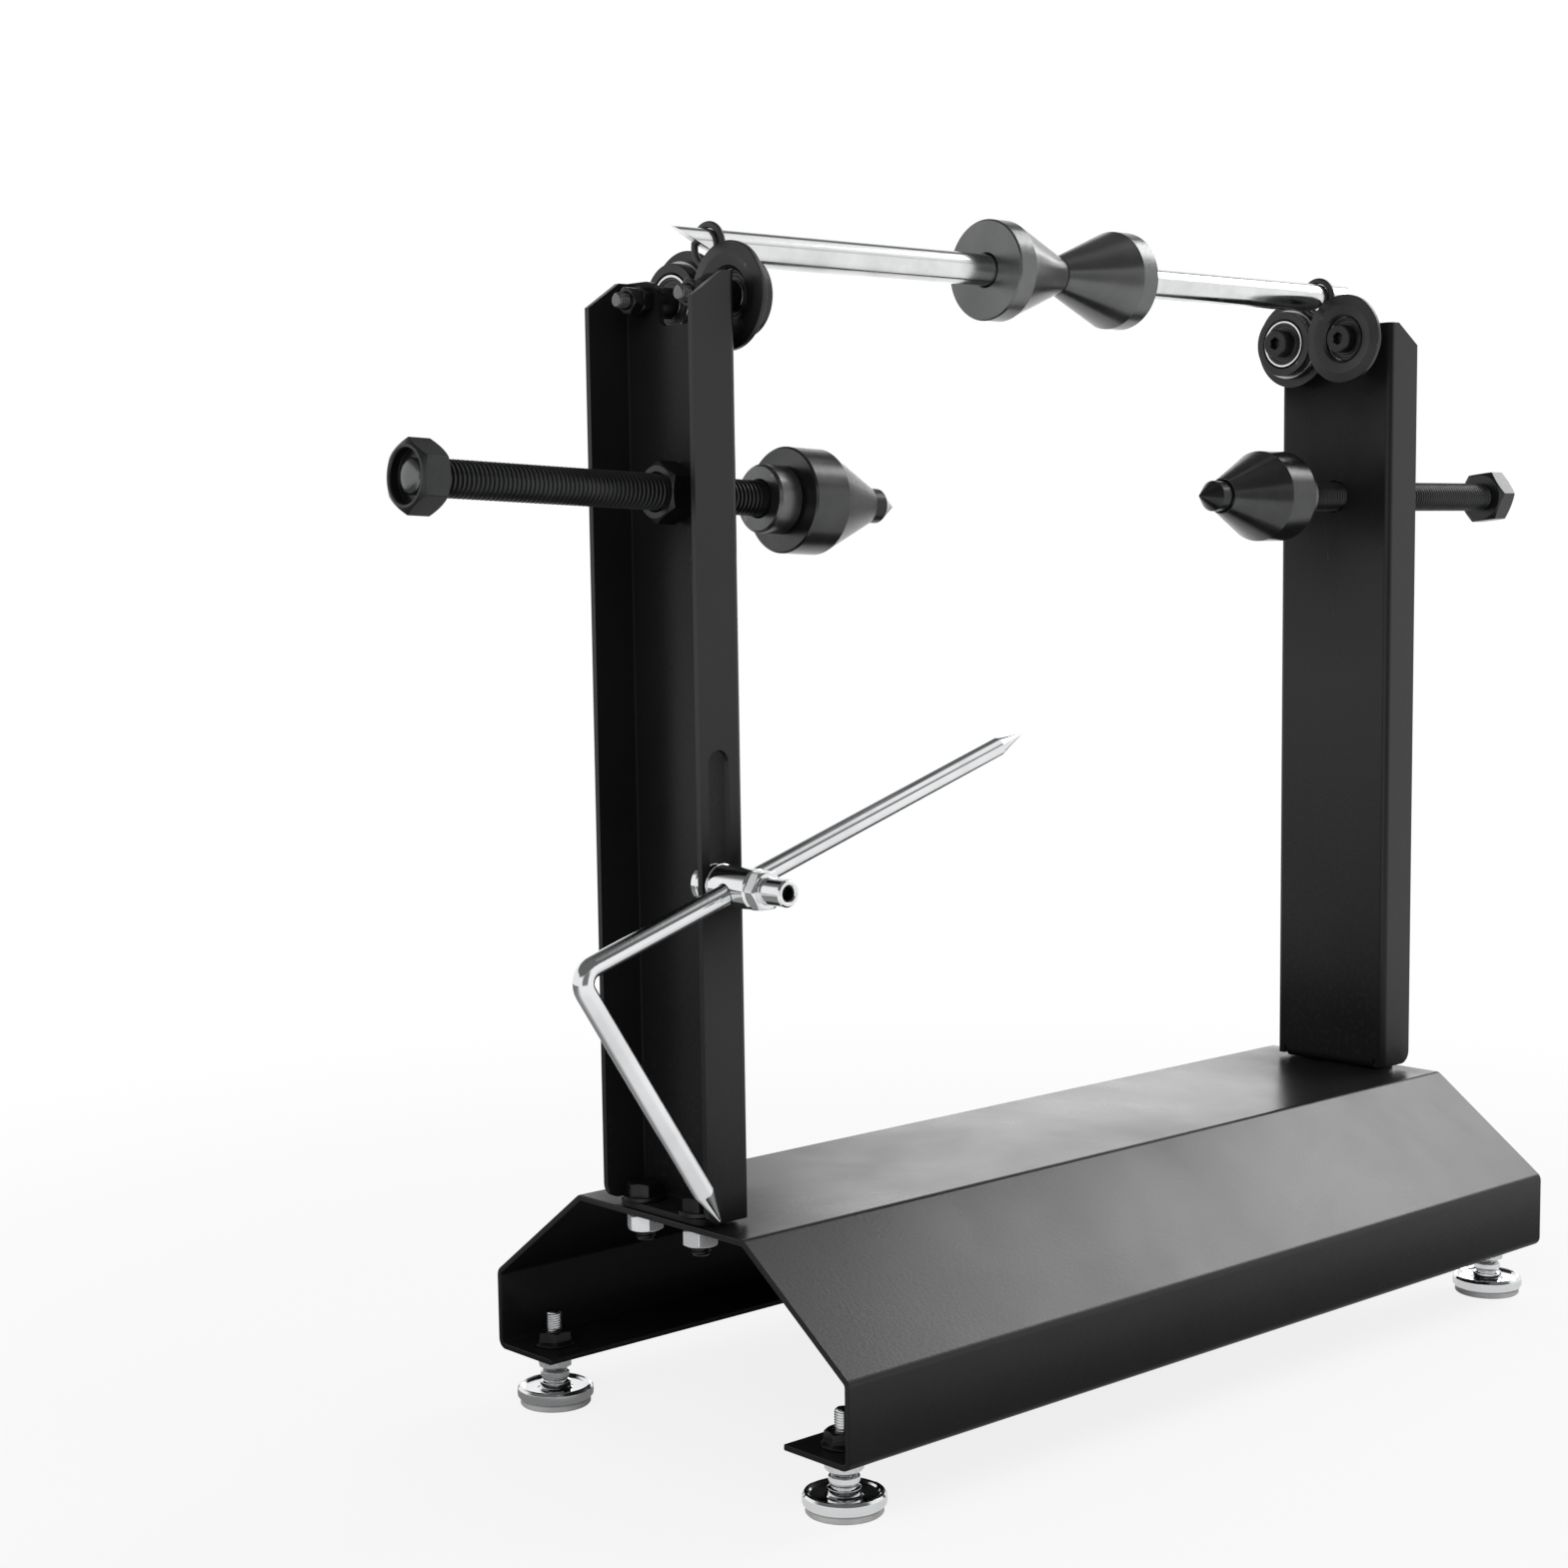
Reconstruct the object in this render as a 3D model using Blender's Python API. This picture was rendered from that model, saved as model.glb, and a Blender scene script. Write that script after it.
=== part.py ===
"""Motorcycle wheel balancer: a bent sheet base, two channel uprights, a balance shaft that
turns on four ball-bearing rollers, two screw-in truing cones and a sliding bent pointer.

Units are metres and +Z is up. X runs from the left upright to the right one, and -Y is the
front, where the pointer stands. Every height below is counted from the base's top face. The
last step lifts the whole stand, so that the origin is on the floor, under the base's middle.
"""

import math

import bmesh
import bpy
from mathutils import Matrix, Vector

# Shared allowances and facet counts
touch_gap = 0.0003
running_gap = 0.0003
cut_overrun = 0.002
joint_mark_size = 0.02
seam_overlap = 0.0004
fine_steps = 28
round_steps = 24
small_steps = 16
bore_steps = 12
ring_steps = 8
bend_steps = 3
hex_sides = 6

# Base, one sheet bent into a flat top, two slopes, two skirts and two lips
base_length = 0.450
base_depth = 0.216
base_top_depth = 0.100
base_sheet = 0.0025
base_rise = 0.076
skirt_height = 0.033
lip_depth = 0.036
base_bend_radius = 0.003
foot_lift = 0.0228

# Uprights, channels with their web towards the wheel
upright_width = 0.064
upright_sheet = 0.0025
flange_depth = 0.0215
flange_overhang = 0.0010
upright_height = 0.360
flange_slope_drop = 0.010
flange_peak_flat = 0.004
flange_corner_radius = 0.006
flange_base_gap = 0.002
web_dip_depth = 0.0175
lug_radius = 0.0077
upright_bend_radius = 0.002
tab_width = 0.052
tab_corner_radius = 0.004
tab_bend_radius = 0.003

# Slot in the left upright's front flange
slot_width = 0.010
slot_length = 0.0565
slot_low = 0.1265
slot_inset = 0.0125

# Bolts that hold the uprights to the base
bolt_spacing = 0.034
bolt_inset = 0.0077
bolt_radius = 0.004
bolt_head_across = 0.013
bolt_head_height = 0.0055
bolt_washer_radius = 0.0085
bolt_washer_height = 0.0016
bolt_tail = 0.004
bolt_nut_across = 0.013
bolt_nut_height = 0.0065

# Levelling feet
foot_inset_x = 0.015
foot_inset_y = 0.019
foot_pad_radius = 0.0148
foot_pad_height = 0.0028
foot_cup_radius = 0.0160
foot_cup_height = 0.0052
foot_cup_bead = 0.0014
foot_dish_radius = 0.0125
foot_neck_radius = 0.0056
foot_neck_height = 0.0070
foot_stud_radius = 0.0035
foot_stud_above_lip = 0.0145
foot_nut_across = 0.013
foot_lock_nut_height = 0.0064
foot_top_nut_height = 0.0062

# Rollers on their ball bearings
roller_radius = 0.0205
roller_small_radius = 0.0153
roller_width = 0.0105
roller_rim_width = 0.0030
roller_edge = 0.0006
roller_dish_width = 0.0040
roller_dish_depth = 0.0016
roller_offset = 0.0184
bearing_radius = 0.0110
bearing_width = 0.0070
bearing_shield_depth = 0.0006
bearing_race_width = 0.0022
bearing_bore_radius = 0.0042
bearing_standoff = 0.0098

# Roller axles, shoulder screws with their spacers
axle_head_radius = 0.0065
axle_head_height = 0.0060
axle_socket_across = 0.0050
axle_socket_depth = 0.0030
axle_shoulder_radius = 0.0039
axle_spacer_radius = 0.0060
axle_thread_radius = 0.0030
axle_hole_radius = 0.0033
axle_end_reach = 0.0145
axle_nut_across = 0.0100
axle_nut_length = 0.0094
axle_nut_groove = 0.0008

# Balance shaft with its rings and cones
shaft_radius = 0.0066
shaft_overreach = 0.0055
shaft_point_length = 0.0320
shaft_point_turn_deg = 20
ring_radius = 0.00138
ring_inset = 0.0042
shaft_cone_radius = 0.021
shaft_cone_small_radius = 0.008
shaft_cone_length = 0.0435
shaft_cone_rim = 0.0095
shaft_cone_meeting = 0.0055
cone_edge = 0.0008

# Truing rods with their cones, collars and nuts
truing_drop = 0.081
truing_droop_left_deg = 2.6
truing_droop_right_deg = 0.0
truing_rod_radius = 0.007
truing_rod_length = 0.238
truing_point_length = 0.0090
truing_reach_left = 0.1103
truing_reach_right = 0.1017
truing_cone_radius = 0.021
truing_cone_small_radius = 0.0082
truing_cone_rim = 0.0175
truing_cone_taper = 0.0270
truing_cone_place = 0.0160
truing_collar_radius = 0.0135
truing_collar_length = 0.0120
truing_collar_edge = 0.0010
web_nut_across = 0.021
web_nut_length = 0.011
hand_nut_across = 0.024
hand_nut_length = 0.012
hand_nut_groove_inner = 0.0066
hand_nut_groove_outer = 0.0080
hand_nut_groove_depth = 0.0030
nut_chamfer = 0.0011
nut_chamfer_share = 0.6

# Pointer with its clamp
pointer_height = 0.132
pointer_stand = 0.0105
pointer_rod_radius = 0.0040
pointer_reach = 0.1615
pointer_back = 0.0810
pointer_leg = 0.1205
pointer_point_length = 0.0150
pointer_point_share = 0.04
pointer_bend_radius = 0.0062
pointer_tilt_deg = 17.5
pointer_fold_deg = 74.6
pointer_bend_steps = 10
post_radius = 0.0078
post_length = 0.0215
post_washer_radius = 0.0090
post_washer_height = 0.0015
post_shank_radius = 0.0045
post_shank_tail = 0.0085
post_edge = 0.0008
clamp_hex_across = 0.0140
clamp_hex_length = 0.0050
clamp_stem_radius = 0.0052
clamp_stem_length = 0.0115
clamp_socket_radius = 0.0030
clamp_socket_depth = 0.0050
slide_nut_across = 0.0130
slide_nut_length = 0.0055
slide_washer_radius = 0.0080
slide_washer_height = 0.0014

# Places that follow from the sizes above
lip_under_z = -base_rise
floor_z = lip_under_z - foot_lift
lip_top_z = lip_under_z + base_sheet
web_inner_x = base_length / 2 + flange_overhang - flange_depth
web_outer_x = web_inner_x + upright_sheet
peak_z = upright_height
dip_z = upright_height - web_dip_depth
axle_z = peak_z - lug_radius
contact_reach = roller_radius + touch_gap + shaft_radius
shaft_z = axle_z + math.sqrt(contact_reach**2 - roller_offset**2)
bearing_outer_x = web_inner_x - bearing_standoff
bearing_inner_x = bearing_outer_x - bearing_width
slot_x = web_inner_x + slot_inset
shaft_length = (web_inner_x + shaft_overreach) * 2
ring_place = bearing_outer_x - ring_inset
truing_height = upright_height - truing_drop
truing_point_left = web_inner_x - truing_reach_left
truing_point_right = web_inner_x - truing_reach_right
front_y = -upright_width / 2
bolt_x = base_length / 2 - bolt_inset
foot_x = base_length / 2 - foot_inset_x
foot_y = base_depth / 2 - foot_inset_y

FRONT, REAR = -1, 1
LEFT, RIGHT = -1, 1
AXIS_X, AXIS_Y, AXIS_Z = Vector((1, 0, 0)), Vector((0, 1, 0)), Vector((0, 0, 1))


def clear_scene():
    for obj in list(bpy.data.objects):
        bpy.data.objects.remove(obj, do_unlink=True)


def paint(name, colour, roughness, metallic):
    """A plain Principled material for one finish of the real balancer."""
    material = bpy.data.materials.new(name)
    material.use_nodes = True
    shader = material.node_tree.nodes["Principled BSDF"]
    shader.inputs["Base Color"].default_value = (*colour, 1.0)
    shader.inputs["Roughness"].default_value = roughness
    shader.inputs["Metallic"].default_value = metallic
    material.diffuse_color = (*colour, 1.0)
    return material


def put(name, mesh, material=None, place=(0, 0, 0), turn=None, parent=None):
    """Link a mesh as an object at a world place, turned by an optional matrix."""
    obj = bpy.data.objects.new(name, mesh)
    bpy.context.scene.collection.objects.link(obj)
    if material and not mesh.materials:
        mesh.materials.append(material)
    obj.matrix_world = Matrix.Translation(Vector(place)) @ (turn or Matrix.Identity(4))
    if parent:
        obj.parent = parent
        obj.matrix_parent_inverse = parent.matrix_world.inverted()
    return obj


def joint_empty(name, place, parent=None):
    """An empty on a joint's axis that carries the pieces which move together."""
    empty = bpy.data.objects.new(name, None)
    bpy.context.scene.collection.objects.link(empty)
    empty.empty_display_size = joint_mark_size
    empty.matrix_world = Matrix.Translation(Vector(place))
    bpy.context.view_layer.update()
    if parent:
        empty.parent = parent
        empty.matrix_parent_inverse = parent.matrix_world.inverted()
    bpy.context.view_layer.update()
    return empty


def finish_mesh(bm, name, smooth=True):
    bmesh.ops.recalc_face_normals(bm, faces=bm.faces[:])
    mesh = bpy.data.meshes.new(name)
    bm.to_mesh(mesh)
    bm.free()
    if smooth:
        mesh.shade_smooth()
        mesh.set_sharp_from_angle(angle=math.radians(30))
    return mesh


def turned(name, profile, steps=round_steps):
    """Spin (radius, along) points about the local Z axis. A closed profile gives a ring."""
    on_axis = profile[0][0] == 0 and profile[-1][0] == 0
    bm = bmesh.new()
    points = [bm.verts.new((radius, 0, along)) for radius, along in profile]
    edges = [bm.edges.new(pair) for pair in zip(points, points[1:])]
    if not on_axis:
        edges.append(bm.edges.new((points[-1], points[0])))
    bmesh.ops.spin(
        bm,
        geom=points + edges,
        axis=AXIS_Z,
        cent=(0, 0, 0),
        angle=math.tau,
        steps=steps,
        use_merge=True,
    )
    bmesh.ops.remove_doubles(bm, verts=bm.verts[:], dist=touch_gap / 1000)
    return finish_mesh(bm, name)


def extruded(name, outline, normal, length, smooth=True):
    """Close an outline of 3-D points as one face and draw it out along its normal."""
    bm = bmesh.new()
    face = bm.faces.new([bm.verts.new(point) for point in outline])
    drawn = bmesh.ops.extrude_face_region(bm, geom=[face])
    moved = [item for item in drawn["geom"] if isinstance(item, bmesh.types.BMVert)]
    bmesh.ops.translate(bm, verts=moved, vec=Vector(normal) * length)
    return finish_mesh(bm, name, smooth)


def hex_prism(name, across, length):
    """A hexagonal bar along local Z from 0 to its length, with a flat facing local -Y."""
    corner = across / 2 / math.cos(math.pi / hex_sides)
    outline = []
    for side in range(hex_sides):
        angle = math.tau * side / hex_sides
        outline.append((corner * math.cos(angle), corner * math.sin(angle), 0))
    return extruded(name, outline, AXIS_Z, length, smooth=False)


def helper(name, mesh, place=(0, 0, 0), turn=None):
    """A cutter or a second body for a Boolean, left out of the render."""
    obj = put(name, mesh, None, place, turn)
    obj.hide_render = True
    obj.display_type = "WIRE"
    return obj


def shaped(name, mesh, joins=(), cuts=(), keeps=()):
    """Join, trim and cut a mesh with exact Booleans, and return the finished mesh."""
    obj = put(name + "_blank", mesh)
    tools = [("UNION", tool) for tool in joins]
    tools += [("INTERSECT", tool) for tool in keeps]
    tools += [("DIFFERENCE", tool) for tool in cuts]
    for operation, tool in tools:
        boolean = obj.modifiers.new(tool.name, "BOOLEAN")
        boolean.operation = operation
        boolean.solver = "EXACT"
        boolean.object = tool
    bpy.context.view_layer.update()
    graph = bpy.context.evaluated_depsgraph_get()
    result = bpy.data.meshes.new_from_object(obj.evaluated_get(graph))
    result.name = name
    bpy.data.objects.remove(obj, do_unlink=True)
    for _, tool in tools:
        bpy.data.objects.remove(tool, do_unlink=True)
    result.materials.clear()
    result.shade_smooth()
    result.set_sharp_from_angle(angle=math.radians(30))
    return result


def rod_profile(radius, low, high):
    return [(0, high), (radius, high), (radius, low), (0, low)]


def cutter_rod(name, radius, low, high, place=(0, 0, 0), turn=None, steps=round_steps):
    return helper(name, turned(name, rod_profile(radius, low, high), steps), place, turn)


def along_x(side):
    """Turn local +Z to world +X or -X, and keep a hexagon's flat facing -Y."""
    return Matrix.Rotation(math.radians(90) * side, 4, "Y")


def along_minus_y():
    """Turn local +Z to world -Y."""
    return Matrix.Rotation(math.radians(90), 4, "X")


def hex_nut(name, across, length, bore):
    """A nut along local Z with chamfered corners and a plain bore.

    The chamfer tool is turned half a step, so no hexagon corner meets an edge of it.
    """
    corner = across / 2 / math.cos(math.pi / hex_sides)
    rise = (nut_chamfer + cut_overrun) * nut_chamfer_share
    crown = [
        (0, length),
        (corner - nut_chamfer, length),
        (corner + cut_overrun, length - rise),
        (corner + cut_overrun, rise),
        (corner - nut_chamfer, 0),
        (0, 0),
    ]
    half_step = Matrix.Rotation(math.pi / bore_steps, 4, "Z")
    keep = helper(name + "_crown", turned(name + "_crown", crown, bore_steps), turn=half_step)
    high = length + cut_overrun
    hole = cutter_rod(name + "_hole", bore, -cut_overrun, high, steps=bore_steps)
    return shaped(name, hex_prism(name, across, length), keeps=[keep], cuts=[hole])


def bent_strip(path, thickness, radius):
    """Outline of a sheet bent along a path of 2-D points, with every bend rounded.

    The path is the sheet's middle line, and radius is the middle line's bend radius.
    """
    middle = [Vector(path[0])]
    for before, corner, after in zip(path, path[1:], path[2:]):
        corner = Vector(corner)
        to_before = (Vector(before) - corner).normalized()
        to_after = (Vector(after) - corner).normalized()
        half = to_before.angle(to_after) / 2
        run = radius / math.tan(half)
        centre = corner + (to_before + to_after).normalized() * radius / math.sin(half)
        start = corner + to_before * run - centre
        sweep = start.angle_signed(corner + to_after * run - centre)
        for step in range(bend_steps + 1):
            part = Matrix.Rotation(-sweep * step / bend_steps, 2)
            middle.append(centre + part @ start)
    middle.append(Vector(path[-1]))
    one_side, other_side = [], []
    for index, point in enumerate(middle):
        before = middle[max(index - 1, 0)]
        after = middle[min(index + 1, len(middle) - 1)]
        normal = (after - before).orthogonal().normalized()
        one_side.append(point + normal * thickness / 2)
        other_side.append(point - normal * thickness / 2)
    return one_side + other_side[::-1]


def make_base(finish):
    """The folded base: its section lies in the YZ plane and runs along X."""
    half_sheet = base_sheet / 2
    side_y = base_depth / 2 - half_sheet
    side = [
        (side_y - lip_depth + half_sheet, lip_under_z + half_sheet),
        (side_y, lip_under_z + half_sheet),
        (side_y, lip_under_z + skirt_height),
        (base_top_depth / 2, -half_sheet),
    ]
    path = [(-y, z) for y, z in side] + side[::-1]
    section = bent_strip(path, base_sheet, base_bend_radius)
    outline = [(-base_length / 2, point.x, point.y) for point in section]
    sheet = extruded("base_plate", outline, AXIS_X, base_length)
    cuts = []
    for side_x in (LEFT, RIGHT):
        for end in (FRONT, REAR):
            bolt_place = (side_x * bolt_x, end * bolt_spacing / 2, 0)
            foot_place = (side_x * foot_x, end * foot_y, lip_under_z)
            cuts.append(
                cutter_rod(
                    "bolt_hole",
                    bolt_radius + running_gap,
                    -base_sheet - cut_overrun,
                    cut_overrun,
                    bolt_place,
                    steps=small_steps,
                )
            )
            cuts.append(
                cutter_rod(
                    "foot_hole",
                    foot_stud_radius + running_gap,
                    -cut_overrun,
                    base_sheet + cut_overrun,
                    foot_place,
                    steps=small_steps,
                )
            )
    return put("base_plate", shaped("base_plate", sheet, cuts=cuts), finish)


def flange_outline():
    """Side view of a flange, from its foot to the sloping top, in the XZ plane."""
    free_x = web_inner_x + flange_depth
    low_z = flange_base_gap
    points = [(web_inner_x - cut_overrun, low_z)]
    for step in range(bend_steps + 1):
        angle = math.radians(90) * step / bend_steps
        points.append(
            (
                free_x - flange_corner_radius * (1 - math.sin(angle)),
                low_z + flange_corner_radius * (1 - math.cos(angle)),
            )
        )
    points.append((free_x, peak_z - flange_slope_drop))
    points.append((web_outer_x + flange_peak_flat, peak_z))
    points.append((web_inner_x - cut_overrun, peak_z))
    return points


def dip_outline():
    """The gap in the web's top edge between the two lugs that carry the axles."""
    half = roller_offset - lug_radius
    fillet = lug_radius / 2
    points = [(-roller_offset, peak_z + cut_overrun), (-roller_offset, peak_z)]
    for step in range(1, bend_steps * 2 + 1):
        angle = math.radians(90) * step / (bend_steps * 2)
        points.append(
            (
                -roller_offset + lug_radius * math.sin(angle),
                axle_z + lug_radius * math.cos(angle),
            )
        )
    for step in range(bend_steps + 1):
        angle = math.radians(90) * step / bend_steps
        points.append(
            (
                -half + fillet * (1 - math.cos(angle)),
                dip_z + fillet * (1 - math.sin(angle)),
            )
        )
    return points + [(-y, z) for y, z in points[::-1]]


def channel_section():
    """The channel seen from above: web across Y, flanges pointing outwards along +X."""
    middle_y = (upright_width - upright_sheet) / 2
    free_x = web_inner_x + flange_depth
    web_x = web_inner_x + upright_sheet / 2
    path = [(free_x, -middle_y), (web_x, -middle_y), (web_x, middle_y), (free_x, middle_y)]
    return bent_strip(path, upright_sheet, upright_bend_radius)


def foot_tab():
    """The web's foot, bent outwards over the base and bolted down."""
    half_sheet = upright_sheet / 2
    web_x = web_inner_x + half_sheet
    path = [
        (web_x, flange_base_gap + upright_bend_radius + flange_corner_radius * 2),
        (web_x, touch_gap + half_sheet),
        (base_length / 2 - tab_corner_radius / 4, touch_gap + half_sheet),
    ]
    section = bent_strip(path, upright_sheet, tab_bend_radius)
    outline = [(point.x, -tab_width / 2, point.y) for point in section]
    return extruded("foot_tab", outline, AXIS_Y, tab_width)


def make_upright(side, finish):
    """One channel upright. The outline is drawn for the right side and turned for the left."""
    name = "left_upright" if side == LEFT else "right_upright"
    low = [(point.x, point.y, -cut_overrun) for point in channel_section()]
    channel = extruded(name, low, AXIS_Z, peak_z + cut_overrun * 2)
    half = upright_width / 2 + cut_overrun
    side_view = [(x, -half, z) for x, z in flange_outline()]
    keep = helper("side_view", extruded("side_view", side_view, AXIS_Y, half * 2))
    trimmed = shaped(name, channel, keeps=[keep])
    dip_x = web_inner_x - cut_overrun
    dip = [(dip_x, y, z) for y, z in dip_outline()]
    cuts = [helper("dip", extruded("dip", dip, AXIS_X, upright_sheet + cut_overrun * 2))]
    through_x = upright_sheet + cut_overrun
    for end in (FRONT, REAR):
        axle_place = (web_inner_x, end * roller_offset, axle_z)
        bolt_place = (bolt_x, end * bolt_spacing / 2, 0)
        cuts.append(
            cutter_rod(
                "axle_hole",
                axle_hole_radius,
                -cut_overrun,
                through_x,
                axle_place,
                along_x(RIGHT),
                small_steps,
            )
        )
        cuts.append(
            cutter_rod(
                "bolt_hole",
                bolt_radius + running_gap,
                -cut_overrun,
                upright_sheet + cut_overrun,
                bolt_place,
                steps=small_steps,
            )
        )
    rod_place = (web_inner_x, 0, truing_height)
    cuts.append(
        cutter_rod(
            "rod_hole",
            truing_rod_radius + running_gap * 2,
            -cut_overrun,
            through_x,
            rod_place,
            along_x(RIGHT),
        )
    )
    if side == LEFT:
        cuts.append(slot_cutter())
    tab = helper("tab", foot_tab())
    mesh = shaped(name, trimmed, joins=[tab], cuts=cuts)
    turn = Matrix.Rotation(math.pi, 4, "Z") if side == LEFT else Matrix.Identity(4)
    mesh.transform(turn)
    return put(name, mesh, finish)


def slot_cutter():
    """The pointer's slot, drawn on the rear flange because the left upright is turned round."""
    half = slot_width / 2
    low, high = slot_low + half, slot_low + slot_length - half
    outline = []
    for centre, start in ((high, 0), (low, 180)):
        for step in range(bend_steps * 2 + 1):
            angle = math.radians(start + 180 * step / (bend_steps * 2))
            outline.append((slot_x + half * math.cos(angle), centre + half * math.sin(angle)))
    inner = upright_width / 2 - upright_sheet - cut_overrun
    points = [(x, inner, z) for x, z in outline]
    return helper("slot", extruded("slot", points, AXIS_Y, upright_sheet + cut_overrun * 2))


def upright_bolt_mesh():
    """Hex bolt with a washer face, its underside at local Z zero and its shank below."""
    head_low = bolt_washer_height
    tail = touch_gap + upright_sheet + touch_gap + base_sheet + touch_gap
    tail += bolt_nut_height + bolt_tail
    shank = [
        (0, head_low + seam_overlap),
        (bolt_washer_radius, head_low + seam_overlap),
        (bolt_washer_radius, 0),
        (bolt_radius, 0),
        (bolt_radius, -tail + cone_edge),
        (bolt_radius - cone_edge, -tail),
        (0, -tail),
    ]
    head = helper("head", hex_prism("head", bolt_head_across, bolt_head_height))
    head.location.z = head_low
    bpy.context.view_layer.update()
    return shaped("upright_bolt", turned("upright_bolt", shank, small_steps), joins=[head])


def make_upright_fasteners(black, zinc):
    bolt = upright_bolt_mesh()
    nut = hex_nut("upright_nut", bolt_nut_across, bolt_nut_height, bolt_radius + running_gap)
    head_z = touch_gap + upright_sheet + touch_gap
    nut_z = -base_sheet - touch_gap - bolt_nut_height
    for side, side_name in ((LEFT, "left"), (RIGHT, "right")):
        for end, end_name in ((FRONT, "front"), (REAR, "rear")):
            y = end * bolt_spacing / 2
            tag = f"{side_name}_{end_name}"
            put(f"upright_bolt_{tag}", bolt, black, (side * bolt_x, y, head_z))
            put(f"upright_nut_{tag}", nut, zinc, (side * bolt_x, y, nut_z))


def foot_glide_mesh():
    """Chrome cup, neck and stud in one turned piece, with local Z zero on the floor."""
    low = foot_pad_height + touch_gap
    cup = low + foot_cup_height
    neck = cup + foot_neck_height
    top = foot_lift + base_sheet + foot_stud_above_lip
    profile = [
        (0, top),
        (foot_stud_radius - cone_edge, top),
        (foot_stud_radius, top - cone_edge),
        (foot_stud_radius, neck),
        (foot_neck_radius, neck),
        (foot_neck_radius, cup - foot_cup_bead / 2),
        (foot_dish_radius, cup - foot_cup_bead),
        (foot_dish_radius + foot_cup_bead, cup),
        (foot_cup_radius, cup - foot_cup_bead * 2),
        (foot_cup_radius, low),
        (0, low),
    ]
    return turned("foot_glide", profile, small_steps)


def make_feet(chrome, plastic, zinc, black):
    glide = foot_glide_mesh()
    pad = turned("foot_pad", rod_profile(foot_pad_radius, 0, foot_pad_height))
    bore = foot_stud_radius + running_gap
    lock_nut = hex_nut("foot_lock_nut", foot_nut_across, foot_lock_nut_height, bore)
    top_nut = hex_nut("foot_top_nut", foot_nut_across, foot_top_nut_height, bore)
    for side, side_name in ((LEFT, "left"), (RIGHT, "right")):
        for end, end_name in ((FRONT, "front"), (REAR, "rear")):
            tag = f"{side_name}_{end_name}"
            x, y = side * foot_x, end * foot_y
            stud = joint_empty(f"foot_joint_{tag}", (x, y, floor_z))
            put(f"foot_glide_{tag}", glide, chrome, (x, y, floor_z), parent=stud)
            put(f"foot_pad_{tag}", pad, plastic, (x, y, floor_z), parent=stud)
            lock_z = lip_under_z - touch_gap - foot_lock_nut_height
            put(f"foot_lock_nut_{tag}", lock_nut, zinc, (x, y, lock_z))
            put(f"foot_top_nut_{tag}", top_nut, black, (x, y, lip_top_z + touch_gap))


def roller_mesh(rim_first):
    """Stepped wheel along local +Z from the face nearest the wheel's middle outwards.

    rim_first puts the large rim on the inner face, otherwise it lies next to the web.
    """
    bore = bearing_radius + running_gap
    profile = [
        (roller_small_radius - roller_edge, roller_width),
        (roller_small_radius, roller_width - roller_edge),
        (roller_small_radius, roller_rim_width),
        (roller_radius - roller_edge, roller_rim_width),
        (roller_radius, roller_rim_width - roller_edge),
        (roller_radius, roller_edge),
        (roller_radius - roller_edge, 0),
        (bore + roller_dish_width, 0),
        (bore, roller_dish_depth),
        (bore, roller_width),
    ]
    if not rim_first:
        profile = [(radius, roller_width - along) for radius, along in profile[::-1]]
    return turned("roller_wheel", profile, fine_steps)


def bearing_mesh():
    """Ball bearing with its shields set back inside the outer race."""
    inner = bearing_bore_radius
    outer = bearing_radius
    shield = outer - bearing_race_width
    back = bearing_shield_depth
    profile = [
        (outer, bearing_width),
        (outer, 0),
        (shield, 0),
        (shield, back),
        (inner, back),
        (inner, bearing_width - back),
        (shield, bearing_width - back),
        (shield, bearing_width),
    ]
    return turned("roller_bearing", profile, small_steps)


def axle_mesh():
    """Shoulder screw with its spacer, along local +Z from the bearing's inner face."""
    spacer_low = bearing_width + touch_gap
    web_low = bearing_width + bearing_standoff - touch_gap
    end = bearing_width + bearing_standoff + upright_sheet + axle_end_reach
    head_low = -touch_gap - axle_head_height
    profile = [
        (0, end),
        (axle_thread_radius, end),
        (axle_thread_radius, web_low),
        (axle_spacer_radius, web_low),
        (axle_spacer_radius, spacer_low),
        (axle_shoulder_radius, spacer_low),
        (axle_shoulder_radius, -touch_gap),
        (axle_head_radius, -touch_gap),
        (axle_head_radius, head_low + roller_edge),
        (axle_head_radius - roller_edge, head_low),
        (0, head_low),
    ]
    socket = hex_prism("socket", axle_socket_across, axle_socket_depth + cut_overrun)
    tool = helper("socket", socket, (0, 0, head_low - cut_overrun))
    bpy.context.view_layer.update()
    screw = turned("roller_axle", profile, small_steps)
    return shaped("roller_axle", screw, cuts=[tool])


def axle_nut_mesh():
    """Two thin nuts locked together, shown as one with the line between them."""
    corner = axle_nut_across / 2 / math.cos(math.pi / hex_sides)
    floor = axle_nut_across / 2 - axle_nut_groove / 2
    middle = axle_nut_length / 2
    nut = hex_nut("nut", axle_nut_across, axle_nut_length, axle_hole_radius)
    groove = [
        (corner + cut_overrun, middle + axle_nut_groove / 2),
        (corner + cut_overrun, middle - axle_nut_groove / 2),
        (floor, middle - axle_nut_groove / 2),
        (floor, middle + axle_nut_groove / 2),
    ]
    tool = helper("groove", turned("groove", groove, bore_steps))
    return shaped("roller_nut", nut, cuts=[tool])


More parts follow.
